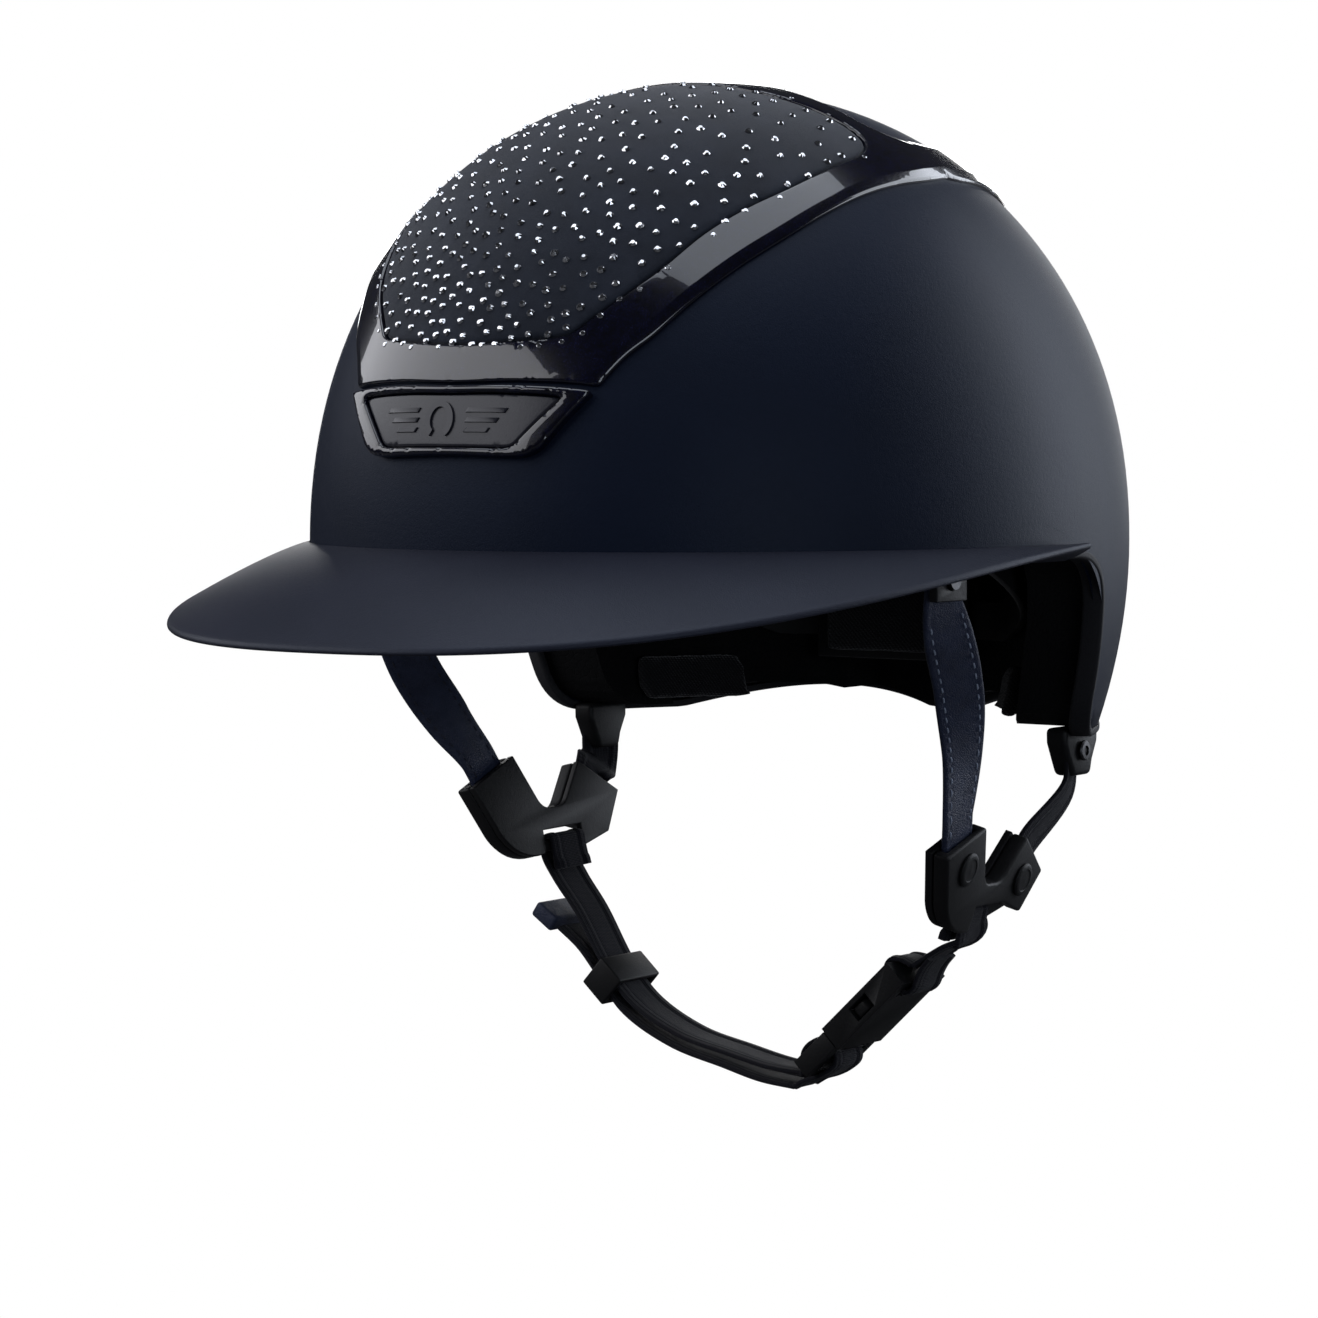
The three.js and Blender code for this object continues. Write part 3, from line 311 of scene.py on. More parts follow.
def fabric_material():
    n = Nodes("fabric")
    a = n.node("TexWave", wave_type="BANDS", bands_direction="DIAGONAL", Scale=420.0, Distortion=1.2)
    n.link(n.coords.outputs["Object"], a.inputs["Vector"])
    b = n.node("TexWave", wave_type="BANDS", bands_direction="Z", Scale=560.0, Distortion=1.0)
    n.link(n.coords.outputs["Object"], b.inputs["Vector"])
    knit = n.node("Math", operation="MULTIPLY")
    n.link(a.outputs["Fac"], knit.inputs[0])
    n.link(b.outputs["Fac"], knit.inputs[1])
    fuzz = n.noise(3000, 2)
    mixed = n.add(knit.outputs[0], fuzz, 0.4)
    n.colour(n.ramp(mixed, (0.0035, 0.0035, 0.0045), (0.0110, 0.0110, 0.0135), 0.05, 0.8))
    n.rough(fuzz, 0.85, 1.0)
    n.bump(mixed, 0.00022)
    n.done("fabric", Specular_IOR_Level=0.2, Sheen_Weight=0.3, Sheen_Roughness=0.5)


def foam_material():
    n = Nodes("foam")
    cells = n.node("TexVoronoi", Scale=420.0, feature="DISTANCE_TO_EDGE")
    n.link(n.coords.outputs["Object"], cells.inputs["Vector"])
    seams = n.ramp(cells.outputs["Distance"], (0, 0, 0), (1, 1, 1), 0.0, 0.12)
    n.colour(n.ramp(n.noise(60, 3), (0.0030, 0.0030, 0.0034), (0.0060, 0.0060, 0.0068)))
    n.rough(n.noise(900, 2), 0.80, 0.95)
    n.bump(n.add(seams, n.noise(1800, 2), 0.4), 0.00012)
    n.done("foam", Specular_IOR_Level=0.25)


def steel_material():
    n = Nodes("steel")
    streaks = n.node("TexNoise", Scale=900.0, Detail=3.0)
    n.link(n.scaled((1, 12, 1)), streaks.inputs["Vector"])
    n.colour(n.ramp(streaks.outputs["Fac"], (0.045, 0.045, 0.048), (0.100, 0.100, 0.106)))
    n.rough(streaks.outputs["Fac"], 0.28, 0.42)
    n.bump(streaks.outputs["Fac"], 0.00003)
    n.done("steel", Metallic=1.0)


def crystal_material():
    n = Nodes("crystal")
    n.colour(n.ramp(n.noise(900, 1), (0.62, 0.63, 0.66), (0.95, 0.95, 0.97)))
    n.rough(n.noise(700, 1), 0.05, 0.12)
    n.done("crystal", Metallic=1.0)


def thread_material():
    n = Nodes("thread")
    twist = n.noise(5200, 2)
    n.colour(n.ramp(twist, (0.24, 0.28, 0.38), (0.46, 0.52, 0.66)))
    n.rough(twist, 0.6, 0.8)
    n.bump(twist, 0.00008)
    n.done("thread", Specular_IOR_Level=0.35)


for build_material in (gloss_material, suede_material, leather_material, webbing_material, fabric_material,
                       foam_material, steel_material, crystal_material, thread_material):
    build_material()
# Painted shade: a darker copy of the thread for the stitches of the far (right) front strap; the near (left) strap
# keeps the lighter thread.
thread_painted_shade = MATERIALS["thread"].copy()
thread_painted_shade.name = "thread_painted_shade"
MATERIALS["thread_painted_shade"] = thread_painted_shade
for element, painted_shade_tone in zip(next(x for x in thread_painted_shade.node_tree.nodes if x.type == "VALTORGB").color_ramp.elements,
                         ((0.020, 0.022, 0.036, 1), (0.045, 0.048, 0.070, 1))):
    element.color = painted_shade_tone

floor_nodes = Nodes("floor")
glow = floor_nodes.node("Emission")
glow.inputs["Color"].default_value = (1, 1, 1, 1)
floor_nodes.colour(floor_nodes.ramp(floor_nodes.noise(6, 3), (0.055, 0.055, 0.057), (0.065, 0.065, 0.067)))
floor_path = floor_nodes.node("LightPath")
floor_mix = floor_nodes.node("MixShader")
floor_nodes.link(floor_path.outputs["Is Camera Ray"], floor_mix.inputs[0])
floor_nodes.link(floor_nodes.shader.outputs[0], floor_mix.inputs[1])
floor_nodes.link(glow.outputs[0], floor_mix.inputs[2])
floor_nodes.link(floor_mix.outputs[0], floor_nodes.tree.nodes["Material Output"].inputs["Surface"])
floor_nodes.done("floor", Roughness=0.9)

# ---------------------------------------------------------------- meshes


def finish_mesh(mesh, sharp=None, flat=False):
    edit = bmesh.new()
    edit.from_mesh(mesh)
    bmesh.ops.remove_doubles(edit, verts=edit.verts, dist=2e-6)
    bmesh.ops.dissolve_degenerate(edit, edges=edit.edges, dist=1e-6)
    bmesh.ops.recalc_face_normals(edit, faces=edit.faces)
    edit.to_mesh(mesh)
    edit.free()
    for face in mesh.polygons:
        face.use_smooth = not flat
    if sharp:
        mesh.set_sharp_from_angle(angle=math.radians(sharp))


def piece(name, points, faces, slot, body=None, replaces=(), sharp=40, flat=False, uv=None, material=None):
    mesh = bpy.data.meshes.new(name)
    mesh.from_pydata([tuple(float(c) * MM for c in p) for p in points], [], faces)
    if uv is not None:
        layer = mesh.uv_layers.new(name="weave")
        values = np.array([uv[l.vertex_index] for l in mesh.loops], np.float32)
        layer.data.foreach_set("uv", values.ravel())
    finish_mesh(mesh, sharp, flat)
    obj = bpy.data.objects.new(name, mesh)
    collection.objects.link(obj)
    mesh.materials.append(MATERIALS[material or slot])
    if replaces:
        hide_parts(*replaces)
    if body:
        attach(obj, body)
    return obj


def grid_faces(rows, columns, closed_columns=False, closed_rows=False):
    faces = []
    for i in range(rows if closed_rows else rows - 1):
        for j in range(columns if closed_columns else columns - 1):
            a, b = i * columns + j, i * columns + (j + 1) % columns
            c, d = (i + 1) % rows * columns + (j + 1) % columns, (i + 1) % rows * columns + j
            faces.append((a, b, c, d))
    return faces


def tube_faces(rows, columns, start=0, flip=False):
    """Rings of columns points joined into a tube, with a flat cap at each end; flip turns the caps round."""
    first, last = tuple(range(columns)), tuple(range((rows - 1) * columns, rows * columns))
    faces = grid_faces(rows, columns, closed_columns=True)
    faces += [first, last[::-1]] if flip else [first[::-1], last]
    return [tuple(i + start for i in face) for face in faces]


# ---------------------------------------------------------------- the dome


def dome_reach(directions, offset):
    """Distance from the centre to the dome, offset outwards, along unit directions above the brow plane."""
    offset = np.broadcast_to(offset, directions.shape[0])
    x, y, z = np.abs(directions[:, 0]), directions[:, 1], directions[:, 2]
    reach = np.where(y < 0, SHELL["front"], SHELL["back"]) + offset
    plan = (x / (SHELL["half"] + offset)) ** PLAN_POWER + (np.abs(y) / reach) ** PLAN_POWER
    level = plan ** (CROWN_POWER / PLAN_POWER) + (np.maximum(z, 0) / (SHELL["height"] + offset)) ** CROWN_POWER
    return level ** (-1 / CROWN_POWER)


def on_dome(bearing, rise):
    b, r = math.radians(bearing), math.radians(rise)
    d = np.array([[math.sin(b) * math.cos(r), -math.cos(b) * math.cos(r), math.sin(r)]])
    return (d * dome_reach(d, 0)[:, None])[0]


def on_crown(x, y):
    reach = SHELL["front"] if y < 0 else SHELL["back"]
    plan = ((abs(x) / SHELL["half"]) ** PLAN_POWER + (abs(y) / reach) ** PLAN_POWER) ** (CROWN_POWER / PLAN_POWER)
    return np.array([x, y, SHELL["height"] * (1 - plan) ** (1 / CROWN_POWER)])


def flatten(points):
    d = points / np.linalg.norm(points, axis=1)[:, None]
    return d[:, :2] / (1 + d[:, 2:3])


def lift(flat, offset=0.0):
    s = (flat ** 2).sum(1)
    d = np.stack([2 * flat[:, 0], 2 * flat[:, 1], 1 - s], 1) / (1 + s)[:, None]
    return d * dome_reach(d, offset)[:, None]


def catmull(points, spans, closed=False):
    """Centripetal curve through points, sampled spans times between each two."""
    points = np.asarray(points, float)
    count = len(points)
    out = []
    last = count if closed else count - 1
    for i in range(last):
        p1, p2 = points[i], points[(i + 1) % count]
        p0 = points[(i - 1) % count] if closed or i > 0 else 2 * p1 - p2
        p3 = points[(i + 2) % count] if closed or i < count - 2 else 2 * p2 - p1
        d0, d1, d2 = (max(np.linalg.norm(b - a), 1e-9) ** 0.5 for a, b in ((p0, p1), (p1, p2), (p2, p3)))
        t1 = ((p1 - p0) / d0 - (p2 - p0) / (d0 + d1) + (p2 - p1) / d1) * d1
        t2 = ((p2 - p1) / d1 - (p3 - p1) / (d1 + d2) + (p3 - p2) / d2) * d1
        steps = spans if isinstance(spans, int) else spans[i]
        for k in range(steps):
            t = k / steps
            out.append(p1 + t1 * t + (-3 * p1 + 3 * p2 - 2 * t1 - t2) * t ** 2 + (2 * p1 - 2 * p2 + t1 + t2) * t ** 3)
    if not closed:
        out.append(points[-1])
    return np.array(out)


def outline(half, corners=(), step=0.8, softening=3):
    """Closed smooth outline in flat coordinates from its right half; corners stay crisp but for a small round."""
    half = [np.asarray(p) for p in half]
    whole = half + [p * (-1, 1, 1) for p in reversed(half) if abs(p[0]) > 1e-6]
    flat = flatten(np.array(whole))
    count = len(half)
    breaks = set(corners) | {len(whole) - (0 if abs(half[0][0]) < 1e-6 else 1) - c for c in corners}
    return closed_curve(flat, breaks, step, softening)


def closed_curve(flat, breaks, step=0.8, softening=3):
    whole = lift(flat)
    breaks = sorted(b % len(flat) for b in breaks)
    spans = [max(2, int(np.linalg.norm(whole[(i + 1) % len(whole)] - whole[i]) / step)) for i in range(len(whole))]
    if not breaks:
        loop = catmull(flat, spans, closed=True)
    else:
        runs = []
        for a, b in zip(breaks, breaks[1:] + [breaks[0] + len(flat)]):
            index = [i % len(flat) for i in range(a, b + 1)]
            runs.append(catmull(flat[index], [spans[i] for i in index[:-1]])[:-1])
        loop = np.concatenate(runs)
    for _ in range(softening):
        loop = 0.25 * np.roll(loop, 1, 0) + 0.5 * loop + 0.25 * np.roll(loop, -1, 0)
    return loop


def inside(points, loop):
    found = np.zeros(len(points), bool)
    a, b = loop, np.roll(loop, -1, 0)
    rise = np.where(np.abs(b[:, 1] - a[:, 1]) < 1e-12, 1e-12, b[:, 1] - a[:, 1])
    for start in range(0, len(points), 4000):
        x, y = points[start:start + 4000, 0:1], points[start:start + 4000, 1:2]
        crossing = (a[:, 1] > y) != (b[:, 1] > y)
        found[start:start + 4000] = (crossing & (x < (b[:, 0] - a[:, 0]) * (y - a[:, 1]) / rise + a[:, 0])).sum(1) % 2
    return found


def region_test(adds, cuts):
    def test(points):
        keep = np.zeros(len(points), bool)
        for loop in adds:
            keep |= inside(points, loop)
        for loop in cuts:
            keep &= ~inside(points, loop)
        return keep
    return test


def triangulate(points, edges, test):
    made = delaunay_2d_cdt([Vector(p) for p in points], edges, [], 0, 1e-9)
    flat = np.array([tuple(v) for v in made[0]])
    faces = np.array([f for f in made[2] if len(f) == 3])
    return flat, faces[test(flat[faces].mean(1))]


def rim_edges(faces):
    seen_edges = {}
    for f in faces:
        for i in range(3):
            a, b = int(f[i]), int(f[(i + 1) % 3])
            if (b, a) in seen_edges:
                del seen_edges[(b, a)]
            else:
                seen_edges[(a, b)] = True
    return list(seen_edges)


def tree_of(points):
    kd = KDTree(len(points))
    for i, p in enumerate(points):
        kd.insert(p, i)
    kd.balance()
    return kd


def skin(name, adds, cuts, height, slot, base=0.12, pitch=1.7, offsets=(0.12, 0.35, 0.8), crease=0.0,
         creased=None, edge_round=0.6, body="helmet"):
    """A raised skin on the dome. Its top is height above the shell, rounds over at the rim, and may slope outside a
    crease that runs along the rim points that creased() picks."""
    test = region_test(adds, cuts)
    loops = adds + cuts
    points = np.concatenate(loops)
    edges, start = [], 0
    for loop in loops:
        edges += [(start + i, start + (i + 1) % len(loop)) for i in range(len(loop))]
        start += len(loop)
    flat, faces = triangulate(points, edges, test)
    rim = rim_edges(faces)
    used = sorted({i for e in rim for i in e})
    index = {old: new for new, old in enumerate(used)}
    rim_points = flat[used]
    rim = [(index[a], index[b]) for a, b in rim]
    samples, normals = [], []
    for a, b in rim:
        pa, pb = rim_points[a], rim_points[b]
        length = np.linalg.norm(lift(np.array([pa]))[0] - lift(np.array([pb]))[0])
        steps = max(1, int(length / 0.25))
        along = (pb - pa) / max(np.linalg.norm(pb - pa), 1e-12)
        for k in range(steps):
            samples.append(pa + (pb - pa) * k / steps)
            normals.append((-along[1], along[0]))
    samples, normals = np.array(samples), np.array(normals)
    solid = lift(samples)
    rim_tree = tree_of(solid)
    crease_tree = None
    if creased is not None:
        chosen = solid[creased(solid)]
        crease_tree = tree_of(chosen)
    probe = 1e-4
    scale = np.linalg.norm(lift(samples + normals * probe) - solid, axis=1) / probe
    extra = []
    rings = list(offsets) + ([crease - 0.25, crease, crease + 0.25] if crease else [])
    for ring in rings:
        moved = samples[::3] + normals[::3] * (ring / scale[::3])[:, None]
        at = lift(moved)
        far = np.array([rim_tree.find(p)[2] for p in at])
        extra.append(moved[(far > ring - 0.06)])
    low, high = points.min(0), points.max(0)
    step = pitch / 230
    u, v = np.meshgrid(np.arange(low[0], high[0], step), np.arange(low[1], high[1], step * 0.87))
    u = u + (np.arange(u.shape[0]) % 2)[:, None] * step / 2
    mesh_points = np.stack([u.ravel(), v.ravel()], 1)
    mesh_points = mesh_points[test(mesh_points)]
    placed = tree_of(np.concatenate([lift(e) for e in extra] + [solid]))
    away = np.array([placed.find(p)[2] for p in lift(mesh_points)])
    mesh_points = mesh_points[away > pitch * 0.45]
    everything = np.concatenate([rim_points] + extra + [mesh_points])
    flat, faces = triangulate(everything, rim, test)
    at = lift(flat)
    distance = np.array([rim_tree.find(p)[2] for p in at])
    rim = rim_edges(faces)
    for i in {i for e in rim for i in e}:
        distance[i] = 0
    tops = height - edge_round * (1 - np.sqrt(1 - (1 - np.minimum(distance / edge_round, 1)) ** 2))
    if crease_tree is not None:
        slope = np.array([crease_tree.find(p)[2] for p in at])
        tops -= 0.75 * np.clip(1 - slope / crease, 0, 1)
    count = len(flat)
    vertices = np.concatenate([lift(flat, tops), lift(flat, base)])
    solid_faces = [tuple(int(i) for i in f) for f in faces]
    solid_faces += [tuple(int(i) + count for i in f[::-1]) for f in faces]
    solid_faces += [(b, a, a + count, b + count) for a, b in rim]
    return piece(name, vertices, solid_faces, slot, body, (name,) if name in frame["nodes"] else (), sharp=50)


PANEL = outline([
    on_dome(0, 25.1), on_dome(11.8, 25.9), on_dome(15.5, 26.6), on_dome(22, 32.1), on_dome(26.5, 35.8),
    on_dome(32.3, 41.1), on_crown(57, -70), on_crown(61.5, -56), on_crown(64, -39), on_crown(64.3, -24),
    on_crown(61.5, -17), on_crown(57, -15), on_crown(46, -16), on_crown(34, -19), on_crown(23, -21), on_crown(0, -22),
], corners=(2,), softening=5)
FRAME = outline([
    on_dome(0, 20.3), on_dome(10, 20.6), on_dome(19.6, 20.3), on_dome(22.6, 23.9), on_dome(26, 26.8),
    on_dome(30.3, 30.9), on_dome(38.5, 37.4), on_dome(45.8, 41.9), on_dome(54, 46.3), on_crown(73, -34),
    on_crown(74, -20), on_crown(74, -4), on_crown(71, 16), on_crown(59, 14), on_crown(59, 5), on_crown(54, -3),
    on_crown(44, -4), on_crown(34, -4), on_crown(0, -5),
], corners=(2, 12, 13), softening=2)
TAIL_EDGES = (
    [(59, 8), (58, 20), (51, 42), (38, 70), (24, 94), (14, 110)],
    [(28, 117), (43, 96), (57, 70), (66, 42), (71, 20), (72, 8)],
)


def tail(side):
    flat = flatten(np.array([on_crown(x * side, y) for edge in TAIL_EDGES for x, y in edge]))
    return closed_curve(flat, (0, 5, 6, 11), softening=1)


VENT_FRAME = outline([
    on_crown(0, 107), on_crown(16, 107), on_crown(29, 114), on_dome(162, 30), on_dome(168, 24), on_dome(180, 23),
], softening=4)
VENT = outline([
    on_dome(180, 37.5), on_dome(171, 37.5), on_dome(167, 34), on_dome(171.5, 27.5), on_dome(180, 26.8),
], softening=4)
BEZEL = outline([
    on_dome(0, 19.8), on_dome(10, 19.9), on_dome(19.2, 19.5), on_dome(13.2, 12.6),
    on_dome(11.3, 11.7), on_dome(0, 11.7),
], corners=(2, 3), softening=3)
PLATE = outline([
    on_dome(0, 18.8), on_dome(8, 18.9), on_dome(15.4, 18.6), on_dome(9.8, 12.9), on_dome(8.6, 12.7), on_dome(0, 12.7),
], corners=(2, 3), softening=3)


def widened(loop, gap):
    """The same outline, gap millimetres larger all round."""
    along = np.roll(loop, -1, 0) - np.roll(loop, 1, 0)
    normal = np.stack([along[:, 1], -along[:, 0]], 1)
    normal /= np.linalg.norm(normal, axis=1)[:, None]
    probe = 1e-4
    scale = np.linalg.norm(lift(loop + normal * probe) - lift(loop), axis=1) / probe
    area = (loop[:, 0] * np.roll(loop[:, 1], -1) - np.roll(loop[:, 0], -1) * loop[:, 1]).sum()
    return loop + normal * (math.copysign(gap, area) / scale)[:, None]


def outer_rim(points):
    """Rim points of the gloss frame that have a sloping edge strip: its sides and its tails."""
    panel_tree = tree_of(lift(widened(PANEL, 0.5)))
    near = np.array([panel_tree.find(p)[2] for p in points])
    low_front = (points[:, 2] < 50) & (points[:, 1] < 0) & (np.abs(points[:, 0]) < 40)
    return (near > 1.5) & ~low_front & (np.abs(points[:, 0]) > 30)


skin("gloss_frame", [FRAME, tail(1), tail(-1), VENT_FRAME], [widened(PANEL, 0.5), widened(VENT, 0.5)], 1.9, "gloss",
     crease=3.2, creased=outer_rim)
skin("crown_panel", [PANEL], [], 1.35, "suede", edge_round=1.0)
skin("badge_bezel", [BEZEL], [widened(PLATE, 0.35)], 3.2, "gloss", edge_round=0.8, pitch=1.2)
skin("badge_plate", [PLATE], [], 2.1, "plate", edge_round=0.5, pitch=1.2)


def slot_loop(z, half_width=13.0, half_height=1.3):
    points = []
    for k in range(24):
        a = k / 24 * 2 * math.pi
        x = math.copysign(half_width - half_height, math.cos(a)) + half_height * math.cos(a)
        points.append((x, z + half_height * math.sin(a)))
    flat = []
    for x, height in points:
        share = (1 - (height / SHELL["height"]) ** CROWN_POWER) ** (PLAN_POWER / CROWN_POWER)
        y = SHELL["back"] * (share - (abs(x) / SHELL["half"]) ** PLAN_POWER) ** (1 / PLAN_POWER)
        flat.append((x, y, height))
    flat = flatten(np.array(flat))
    return catmull(flat, 3, closed=True)


skin("vent_grille", [VENT], [slot_loop(z) for z in (74, 80, 86)], 1.35, "plastic", edge_round=0.5, pitch=1.2)

# ---------------------------------------------------------------- shell, trim and brim


def plan_point(bearing, offset=0.0, scale=1.0):
    s, c = abs(math.sin(bearing)) ** PLAN_POWER, abs(math.cos(bearing)) ** PLAN_POWER
    r = (s + c) ** (-1 / PLAN_POWER)
    x, y = r * math.sin(bearing), -r * math.cos(bearing)
    reach = SHELL["front"] if y < 0 else SHELL["back"]
    return (SHELL["half"] + offset) * x * scale, (reach + offset) * y * scale


def taper(z):
    return 1 - 0.075 * (z / 55) ** 2


def quadratic(a, c, b, count):
    return [tuple((1 - t) ** 2 * p + 2 * t * (1 - t) * q + t * t * r for p, q, r in zip(a, c, b))
            for t in (k / count for k in range(1, count + 1))]


EAR_EDGE = [(12.5, 0), (18, 0)] + quadratic((18, 0), (40, 0), (43.5, -16), 14)
EAR_EDGE += [(43.5 + 4.5 * k / 12, -16 - 26 * k / 12) for k in range(1, 13)]
EAR_EDGE += quadratic((48, -42), (50, -54), (62, -54), 12)


NAPE = {"half": 80, "side": -55, "arch": -39, "middle": -57.0, "lowest": -54.0}


def nape_height(x):
    """The lower back edge: two shallow arches either side of a middle lobe."""
    x = abs(x)
    if x > NAPE["half"]:
        return NAPE["middle"]
    t = 1 - x / NAPE["half"]
    return (1 - t) ** 2 * NAPE["side"] + 2 * t * (1 - t) * NAPE["arch"] + t * t * NAPE["middle"]


def bearing_at(y, z):
    low, high = 0.0, math.pi
    for _ in range(50):
        middle = (low + high) / 2
        if plan_point(middle, 0, taper(min(z, 0)))[1] < y:
            low = middle
        else:
            high = middle
    return (low + high) / 2


def shell_edge():
    """(bearing, height) of the shell's lower edge from the front to the back of the wearer's left side."""
    start = bearing_at(12.5, 0)
    edge = [(start * k / 52, 0.0) for k in range(52)]
    edge += [(bearing_at(y, z), z) for y, z in EAR_EDGE]
    last = edge[-1][0]
    for k in range(1, 45):
        bearing = last + (math.pi - last) * k / 44
        z = NAPE["lowest"]
        for _ in range(8):
            x, y = plan_point(bearing, 0, taper(z))
            z = max(NAPE["lowest"], nape_height(x)) if y > 70 and abs(x) < NAPE["half"] else NAPE["lowest"]
        edge.append((bearing, z))
    return edge


LEFT_EDGE = shell_edge()
WHOLE_EDGE = LEFT_EDGE + [(2 * math.pi - b, z) for b, z in LEFT_EDGE[-2:0:-1]]


def dome_point(bearing, z, offset):
    if z < 0:
        return (*plan_point(bearing, offset, taper(z)), z)
    height = SHELL["height"] + offset
    scale = (1 - min(z / height, 0.99999) ** CROWN_POWER) ** (1 / CROWN_POWER)
    return (*plan_point(bearing, offset, scale), z)


def outer_shell():
    edge = WHOLE_EDGE
    columns = len(edge)
    even = [2 * math.pi * k / columns for k in range(columns)]
    rows = []
    blend_top = 16.0
    for offset in (0.0, -2.6):
        sheet = []
        for k in range(15):
            t = k / 14
            ease = t * t * (3 - 2 * t)
            row = []
            for (b, z), free in zip(edge, even):
                row.append(dome_point(b + (free - b) * ease, z + (blend_top - z) * t, offset))
            sheet.append(row)
        low_angle = math.asin((blend_top / (SHELL["height"] + offset)) ** (CROWN_POWER / 2))
        for k in range(1, 41):
            angle = low_angle + (math.pi / 2 - low_angle) * (k / 40) ** 0.97
            if k == 40:
                angle = math.pi / 2 - 0.004
            z = (SHELL["height"] + offset) * math.sin(angle) ** (2 / CROWN_POWER)
            sheet.append([dome_point(b, z, offset) for b in even])
        rows.append(sheet)
    outer, inner = rows
    rim = [[(o[0] * 0.5 + i[0] * 0.5, o[1] * 0.5 + i[1] * 0.5, o[2] - 0.3) for o, i in zip(outer[0], inner[0])]]
    order = outer[::-1] + rim + inner
    points = [p for row in order for p in row]
    return piece("outer_shell", points, tube_faces(len(order), columns), "shell", "helmet",
                 ("outer_shell",), sharp=60)


outer_shell()


def edge_trim():
    path = [(b, z) for b, z in WHOLE_EDGE if dome_point(b, z, 0)[1] >= 12.4]
    centre = np.array([dome_point(b, z, 0) for b, z in path])
    out_points = np.array([dome_point(b, z, 1.0) for b, z in path])
    outward = out_points - centre
    outward /= np.linalg.norm(outward, axis=1)[:, None]
    along = np.gradient(centre, axis=0)
    for _ in range(3):
        along[1:-1] = 0.25 * along[:-2] + 0.5 * along[1:-1] + 0.25 * along[2:]
    along /= np.linalg.norm(along, axis=1)[:, None]
    down = np.cross(along, outward)
    section = []
    low_in, high_out, top_z, bottom_z, r = -6.0, 0.3, 0.25, 2.6, 0.95
    for cx, cz, a0 in ((high_out - r, top_z + 0.35, -90), (high_out - r, bottom_z - r, 0),
                       (low_in + r, bottom_z - r, 90), (low_in + 0.35, top_z + 0.35, 180)):
        radius = r if abs(cz - (bottom_z - r)) < 1e-6 else 0.35
        if a0 == -90:
            cx = high_out - 0.35
        for k in range(5):
            a = math.radians(a0 + 90 * k / 4)
            section.append((cx + radius * math.cos(a), cz + radius * math.sin(a)))
    points = [c + o * a + d * b for c, o, d in zip(centre, outward, down) for a, b in section]
    faces = tube_faces(len(centre), len(section), flip=True)
    return piece("edge_trim", points, faces, "trim", "helmet", ("edge_trim",), sharp=60)


edge_trim()


BRIM = {"half": 120, "reach": 193, "back": 10, "power": 2.45, "bead": 1.0}


def brim():
    rings = []
    count = 150
    power, bead = BRIM["power"], BRIM["bead"]
    for i in range(count + 1):
        angle = math.pi * i / count
        c, s = abs(math.cos(angle)) ** power, abs(math.sin(angle)) ** power
        r = (c + s) ** (-1 / power)
        x = BRIM["half"] * r * math.cos(angle)
        y = BRIM["back"] - BRIM["reach"] * r * math.sin(angle)
        f = (BRIM["back"] - y) / BRIM["reach"]
        lip = Vector((x, y, 2.4 - f * (16.2 + f * (20.9 - 12.9 * f))))
        bearing = math.atan2(lip.x / 112, -lip.y / (130 if lip.y < 0 else 154))
        rx, ry = plan_point(bearing, 0.3)
        ix, iy = plan_point(bearing, -2.4)
        reach = math.hypot(lip.x - rx, lip.y - ry)

        def at(part, drop=0.0):
            z = 1.6 + (lip.z - 1.6) * part ** 1.25
            return (rx + (lip.x - rx) * part, ry + (lip.y - ry) * part, z - drop)

        end = 1 - bead / max(reach, 3)
        ring = [at(end * k / 22) for k in range(23)]
        for k in range(1, 8):
            a = math.pi * k / 8
            ring.append(at(end + (1 - end) * math.sin(a), bead * (1 - math.cos(a))))
        ring += [at(end * (1 - k / 14), 2 * bead + (4.6 - 2 * bead) * (k / 14) ** 0.8) for k in range(15)]
        ring += [(ix, iy, -3.0), (ix, iy, -0.3), (rx, ry, -0.3)]
        rings.append(ring)
    points = [p for ring in rings for p in ring]
    faces = tube_faces(len(rings), len(rings[0]), flip=True)
    return piece("brim", points, faces, "brim", "helmet", ("brim",), sharp=50)


brim()

# ---------------------------------------------------------------- crystals and badge emblem


def surface_frame(point):
    """Point and outward normal on the dome at a point given on or near it."""
    p = np.array([point])
    flat = flatten(p)
    e = 1e-3
    base, right, up = lift(np.concatenate([flat, flat + (e, 0), flat + (0, e)]))
    normal = np.cross(right - base, up - base)
    normal /= np.linalg.norm(normal)
    return base, normal * math.copysign(1, normal @ base)


CRYSTAL = {"gap": 3.05, "spread": 0.034, "tries": 12000, "margin": 2.4}


def crystals():
    """A scattered setting: close together low at the front and wider apart towards the crown."""
    draw = random.Random(23)
    margin = widened(PANEL, -CRYSTAL["margin"])
    low_corner, high_corner = np.min(margin, axis=0), np.max(margin, axis=0)
    front = lift(flatten(np.array([on_dome(0, 25.6)])))[0]
    spots = np.array([[draw.uniform(a, b) for a, b in zip(low_corner, high_corner)]
                      for _ in range(CRYSTAL["tries"])])
    points, faces, kept = [], [], np.empty((0, 3))
    for spot in lift(spots[inside(spots, margin)]):
        reach = CRYSTAL["gap"] + CRYSTAL["spread"] * np.linalg.norm(spot - front)
        if len(kept) and np.linalg.norm(kept - spot, axis=1).min() < reach:
            continue
        kept = np.vstack([kept, spot])
        add_crystal(points, faces, spot, draw)
    piece("crown_crystals", points, faces, "suede", "helmet", sharp=None, flat=True, material="crystal")


